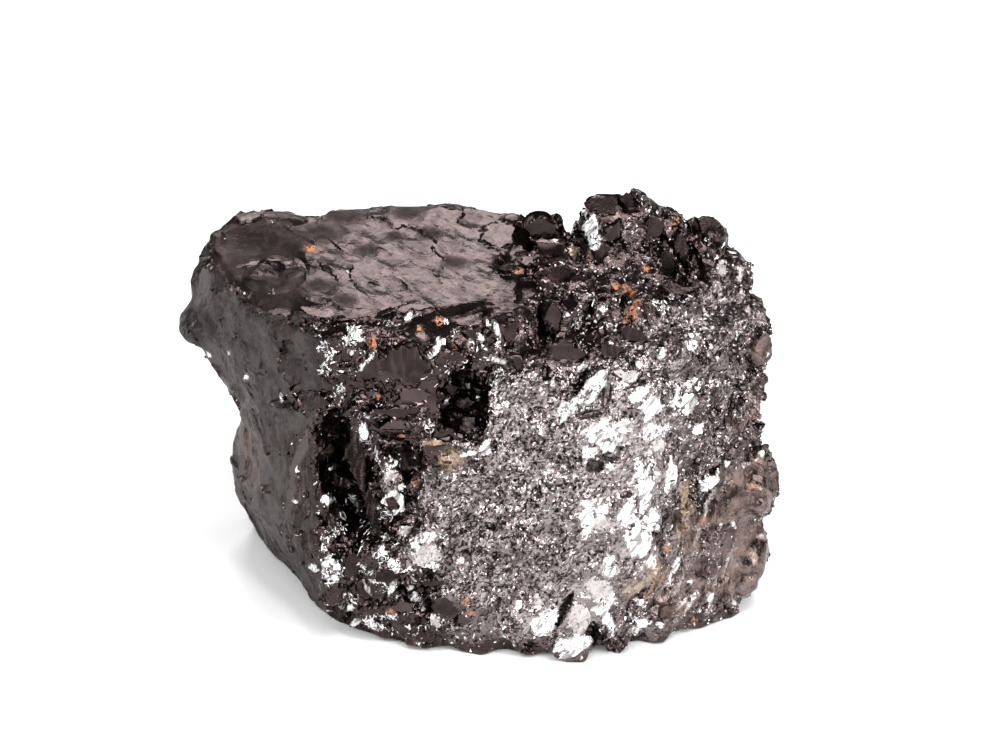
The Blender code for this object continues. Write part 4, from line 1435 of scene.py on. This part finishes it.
class StoneFinish(Finish):
    """Black glass and silver grain, with painted light, shade and glints, rust, clay and brown
    weathering.
    """

    def __init__(self):
        super().__init__("shungite_skin")
        self.colours = bpy.context.scene.shungite_colours
        place = self.node("ShaderNodeTexCoord").outputs["Object"]
        self.in_mm = self.vectors("SCALE", {0: place, "Scale": 1 / MM})
        self.face = {
            name: self.number("ShaderNodeAttribute", {"attribute_name": name}, None, "Fac")
            for name in FINISHES
        }
        self.speckle = {
            name: self.noise(self.in_mm, 1 / size, detail, roughness)
            for name, (size, detail, roughness) in SPECKLES.items()
        }
        silver_now = self.silver()
        colour = self.mixed(silver_now, self.glass(), opaque(self.colours.silver))
        # The fresh fractures' white is a painted glint.
        fresh_glint_now = self.fresh_glint()
        colour = self.mixed(fresh_glint_now, colour, opaque(self.colours.fresh_glint))
        stains = self.stains()
        for name, amount in stains.items():
            colour = self.mixed(amount, colour, opaque(getattr(self.colours, name)))
        self.feed(self.shader.inputs["Base Color"], colour)
        # The painted glint, like the stains, makes the stone less metallic and rougher.
        stained_and_glinting = stains["rust"] + stains["clay"] + stains["brown"] * 0.6 + fresh_glint_now * 0.5
        self.polish(silver_now, fresh_glint_now, stained_and_glinting.clamped())
        self.feed(self.shader.inputs["Normal"], self.relief())

    def glass(self):
        """Black glass, painted lighter or darker by its light, weathered on the wall and darker
        towards its top, darker and lined where shade is painted, and with leaves of painted shade
        on the top.
        """
        face, speckle = self.face, self.speckle
        # Light paints the glass darker or lighter: painted shade and painted light.
        lit = 0.1 * speckle["cloud"] + 0.3 * speckle["smear"] + 0.05 * face["tone"]
        lit = (lit + 0.3 * face["light"] - 0.03).clamped()
        glass = self.mixed(lit, *tones_of(self.colours.glass, GLASS_TONES))
        mottle = (self.step(speckle["mottle"], "mottle") + face["light"]).clamped()
        weathered = self.mixed(mottle, *tones_of(self.colours.wall, WALL_TONES))
        glass = self.mixed(face["wall"], glass, weathered)
        # Where shade is painted, the glass turns darker and lined.
        lines = self.vectors("MULTIPLY", {0: self.in_mm, 1: LINE_STRETCH})
        lines = self.step(self.noise(lines, 1.5, 2.0), "lines")
        lined = self.mixed(lines, *tones_of(self.colours.glass, LINE_TONES))
        glass = self.mixed(face["shade"], glass, lined)
        # Leaves of painted shade break up the top's sheen.
        leaves = self.vectors("MULTIPLY", {0: self.in_mm, 1: LEAF_STRETCH})
        leaves = self.step(self.noise(leaves, 0.9, 3.0, 0.6), "leaves")
        leaf = tones_of(self.colours.glass, (LEAF_TONE,))[0]
        return self.mixed(leaves * face["flat_top"] * 0.75, glass, leaf)

    def silver(self):
        """How silvery the stone is, with dark gaps between its grains."""
        face = self.face
        gaps = (self.step(self.speckle["gaps"], "gaps") + face["calm"] * 0.5).clamped()
        shine = face["silver"] * (0.32 + 0.3 * face["tone"] + 0.6 * self.speckle["cloud"])
        return (shine * (0.06 + 0.94 * gaps)).clamped()

    def fresh_glint(self):
        """How much painted white glint the fresh fractures show, with dark cracks and strokes
        across it.
        """
        face, grit = self.face, self.speckle["grit"]
        cracks = self.step(self.crack_distance(), "cracks")
        strokes = self.leaning(self.in_mm, STROKE_STRETCH)
        strokes = self.step(self.noise(strokes, 1.1, 2.0), "strokes")
        fresh_glint = face["fresh_glint"] * self.step(face["tone"] + grit * 0.5, "fresh_glint")
        return (fresh_glint * (0.3 + 0.7 * strokes) * cracks).clamped()

    def stains(self):
        """How stained the stone is, by the name of the stain, from the lowest up."""
        face, grit = self.face, self.speckle["grit"]
        brown = self.step(self.speckle["smear"] + grit * 0.5, "brown")
        return {
            "brown": (face["brown"] * brown * 0.8).clamped(),
            "clay": (face["clay"] * self.step(grit, "clay") * 0.8).clamped(),
            "rust": (face["rust"] * self.step(grit, "rust")).clamped(),
        }

    def polish(self, silver_now, fresh_glint_now, stained_and_glinting):
        """Sets how metallic, how rough and how tinted the stone is."""
        face = self.face
        self.feed(self.shader.inputs["Metallic"], 1 - stained_and_glinting)
        rough = 0.14 + silver_now * 0.1 + fresh_glint_now * 0.15 + stained_and_glinting * 0.4 + face["wall"] * 0.2
        rough = rough + face["matt"] * 0.4
        rough = rough + face["flat_top"] * 0.1 + self.speckle["cloud"] * 0.06
        self.feed(self.shader.inputs["Roughness"], rough.clamped())
        self.shader.inputs["Specular Tint"].default_value = GLANCING_TINT

    def relief(self):
        """Small facets, each tilted its own way, finer than the mesh, as a normal."""
        face, in_mm = self.face, self.in_mm
        rough = (1 - face["calm"]) * (1 - face["flat_top"]) * (1 - face["wall"])
        rough = rough * (1 - 0.7 * face["fresh_glint"])
        still = 0.12 * face["wall"] + 0.04 * face["flat_top"]
        crushed = self.step(self.speckle["crushed"], "crushed") * (1 - face["silver"])
        bent = self.node("ShaderNodeTexNoise", None, {"Vector": in_mm, "Scale": 0.5})
        bent = self.vectors("SCALE", {0: bent.outputs["Color"], "Scale": 2.4})
        drawn = self.leaning(self.vectors("ADD", {0: in_mm, 1: bent}), FACET_STRETCH)
        fine = still + rough * (0.06 + 0.44 * face["silver"] + 0.45 * crushed)
        coarse = still + rough * (0.10 + 0.16 * face["silver"] + 0.2 * crushed)
        facing = self.node("ShaderNodeNewGeometry").outputs["Normal"]
        for size, amount in ((FINE_FACET, fine), (COARSE_FACET, coarse)):
            facing = self.vectors("ADD", {0: facing, 1: self.random_facing(drawn, size, amount)})
        facing = self.vectors("NORMALIZE", {0: facing})
        height = self.speckle["grit"] * 0.5 + self.speckle["relief"] * 0.6
        values = {"Strength": BUMP_STRENGTH, "Distance": BUMP_DEPTH * MM, "Height": height,
                  "Normal": facing}
        return self.node("ShaderNodeBump", None, values).outputs[0]

    def leaning(self, place, stretch):
        """The place turned and squeezed, so that a pattern comes out long along the cracks."""
        values = {"Vector": place, "Rotation": (0.0, CRACK_LEAN, 0.0), "Scale": stretch}
        return self.node("ShaderNodeMapping", {"vector_type": "TEXTURE"}, values).outputs[0]

    def crack_distance(self):
        """How far a place lies from the nearest crack of a wandering net of them."""
        stray = self.node("ShaderNodeTexNoise", None, {"Vector": self.in_mm, "Scale": 1.2})
        stray = self.vectors("SCALE", {0: stray.outputs["Color"], "Scale": 1.6})
        place = self.leaning(self.vectors("ADD", {0: self.in_mm, 1: stray}), CRACK_STRETCH)
        values = {"Vector": place, "Scale": 0.8}
        settings = {"feature": "DISTANCE_TO_EDGE"}
        return self.number("ShaderNodeTexVoronoi", settings, values, "Distance")

    def random_facing(self, place, size, amount):
        """A random tilt for each cell of one size, as a vector."""
        cells = self.node("ShaderNodeTexVoronoi", None, {"Vector": place, "Scale": 1 / size})
        level = self.vectors("SUBTRACT", {0: cells.outputs["Color"], 1: (0.5, 0.5, 0.5)})
        return self.vectors("SCALE", {0: level, "Scale": amount * 2})


def floor_finish():
    stage = bpy.context.scene.shungite_stage
    make = Finish("studio_floor")
    make.feed(make.shader.inputs["Base Color"], opaque(stage.floor_colour))
    make.feed(make.shader.inputs["Roughness"], FLOOR_ROUGHNESS)
    return make.material


class SHUNGITE_OT_skin(bpy.types.Operator):
    """Build the chunk's broken skin, and the grains in it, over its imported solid"""

    bl_idname = "shungite.skin"
    bl_label = "Stone skin"

    def execute(self, context):
        noise.seed_set(WANDER_SEED)
        settings = context.scene.shungite_skin
        skin = solid_copy("stone_skin")
        regrid(skin, settings.grid * (1))
        soften(skin, settings.softening)
        corners = corner_arrays(skin.data)[0]
        rounded = spot_mask(corners, tree_of(skin.data), ROUNDED_SPOTS, 0.4)
        soften(skin, settings.rounding, rounded)
        break_up(skin, settings.relief)
        thin_out(skin, settings.triangles)
        finish = finish_of(skin.data)
        write_finish(skin.data, finish)
        material = StoneFinish().material
        self.dress(skin, material)
        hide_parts(NODE)
        numbers = context.scene.shungite_grains
        chance = random.Random(GRAIN_SEED)
        for name, likely in likely_places(skin, finish).items():
            count = getattr(numbers, GRAINS[name]["number"])
            self.dress(scatter(name, skin, finish, likely, count, chance), material)
        return {"FINISHED"}

    def dress(self, piece, material):
        piece.data.materials.append(material)
        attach(piece, "root")


def add_area_light(name, place, size, radiance):
    """A square soft light, with its size in metres, that faces the chunk."""
    light = bpy.data.lights.new(name, "AREA")
    light.size = size
    light.energy = radiance * math.pi * size * size
    lamp = bpy.data.objects.new(name, light)
    lamp.location = place
    facing = Vector(LIGHT_TARGET) - Vector(place)
    lamp.rotation_euler = facing.to_track_quat("-Z", "Y").to_euler()
    lamp.visible_camera = False
    bpy.context.scene.collection.objects.link(lamp)


class SHUNGITE_OT_stage(bpy.types.Operator):
    """Set up the pale floor, the soft lights and the camera"""

    bl_idname = "shungite.stage"
    bl_label = "Studio"

    def execute(self, context):
        self.add_floor(context.scene.shungite_stage)
        self.add_lights(context)
        self.add_camera(context)
        return {"FINISHED"}

    def add_floor(self, stage):
        bm = bmesh.new()
        bmesh.ops.create_grid(bm, x_segments=1, y_segments=1, size=stage.floor_size / 2)
        mesh = mesh_of(bm, "studio_floor")
        mesh.materials.append(floor_finish())
        link("studio_floor", mesh)

    def add_lights(self, context):
        for name, (turn, height, distance, size, radiance) in SOFTBOXES.items():
            heading, rise = math.radians(turn), math.radians(height)
            flat = distance * math.cos(rise)
            rightward, forward = flat * math.sin(heading), flat * math.cos(heading)
            place = (rightward, -forward, distance * math.sin(rise))
            add_area_light(name, place, size, radiance)
        world = bpy.data.worlds.new("studio")
        context.scene.world = world
        world.use_nodes = True
        background = world.node_tree.nodes["Background"].inputs
        background["Color"].default_value = WHITE
        background["Strength"].default_value = WORLD_LIGHT

    def add_camera(self, context):
        camera = bpy.data.cameras.new("camera")
        camera.sensor_width = SENSOR_WIDTH
        camera.lens = context.scene.shungite_stage.focal_length
        camera.clip_start, camera.clip_end = CAMERA_CLIP
        body = bpy.data.objects.new("camera", camera)
        body.location = camera_place()
        pitch = context.scene.shungite_stage.camera_pitch
        body.rotation_euler = (math.radians(90) - pitch, 0, 0)
        context.scene.collection.objects.link(body)
        context.scene.camera = body
        context.scene.view_settings.view_transform = "Standard"


class SHUNGITE_PT_panel(bpy.types.Panel):
    """Lists the chunk's sizes and colours, and what builds it"""

    bl_label = "Elite shungite"
    bl_idname = "SHUNGITE_PT_panel"
    bl_space_type = "VIEW_3D"
    bl_region_type = "UI"
    bl_category = "Shungite"

    def draw(self, context):
        for name in SETTINGS:
            box = self.layout.box()
            group = getattr(context.scene, name)
            for setting in group.__annotations__:
                box.prop(group, setting)
        for operator in OPERATORS:
            self.layout.operator(operator.bl_idname)


OPERATORS = (SHUNGITE_OT_stage, SHUNGITE_OT_skin)
SETTINGS = {
    "shungite_skin": ShungiteSkinSettings,
    "shungite_grains": ShungiteGrainSettings,
    "shungite_colours": ShungiteColourSettings,
    "shungite_stage": ShungiteStageSettings,
}
CLASSES = (*SETTINGS.values(), *OPERATORS, SHUNGITE_PT_panel)


def register():
    for each in CLASSES:
        bpy.utils.register_class(each)
    for name, group in SETTINGS.items():
        setattr(bpy.types.Scene, name, PointerProperty(type=group))


def unregister():
    for name in SETTINGS:
        delattr(bpy.types.Scene, name)
    for each in reversed(CLASSES):
        bpy.utils.unregister_class(each)


def main():
    register()
    bpy.ops.shungite.stage()
    bpy.ops.shungite.skin()


if __name__ == "__main__":
    main()
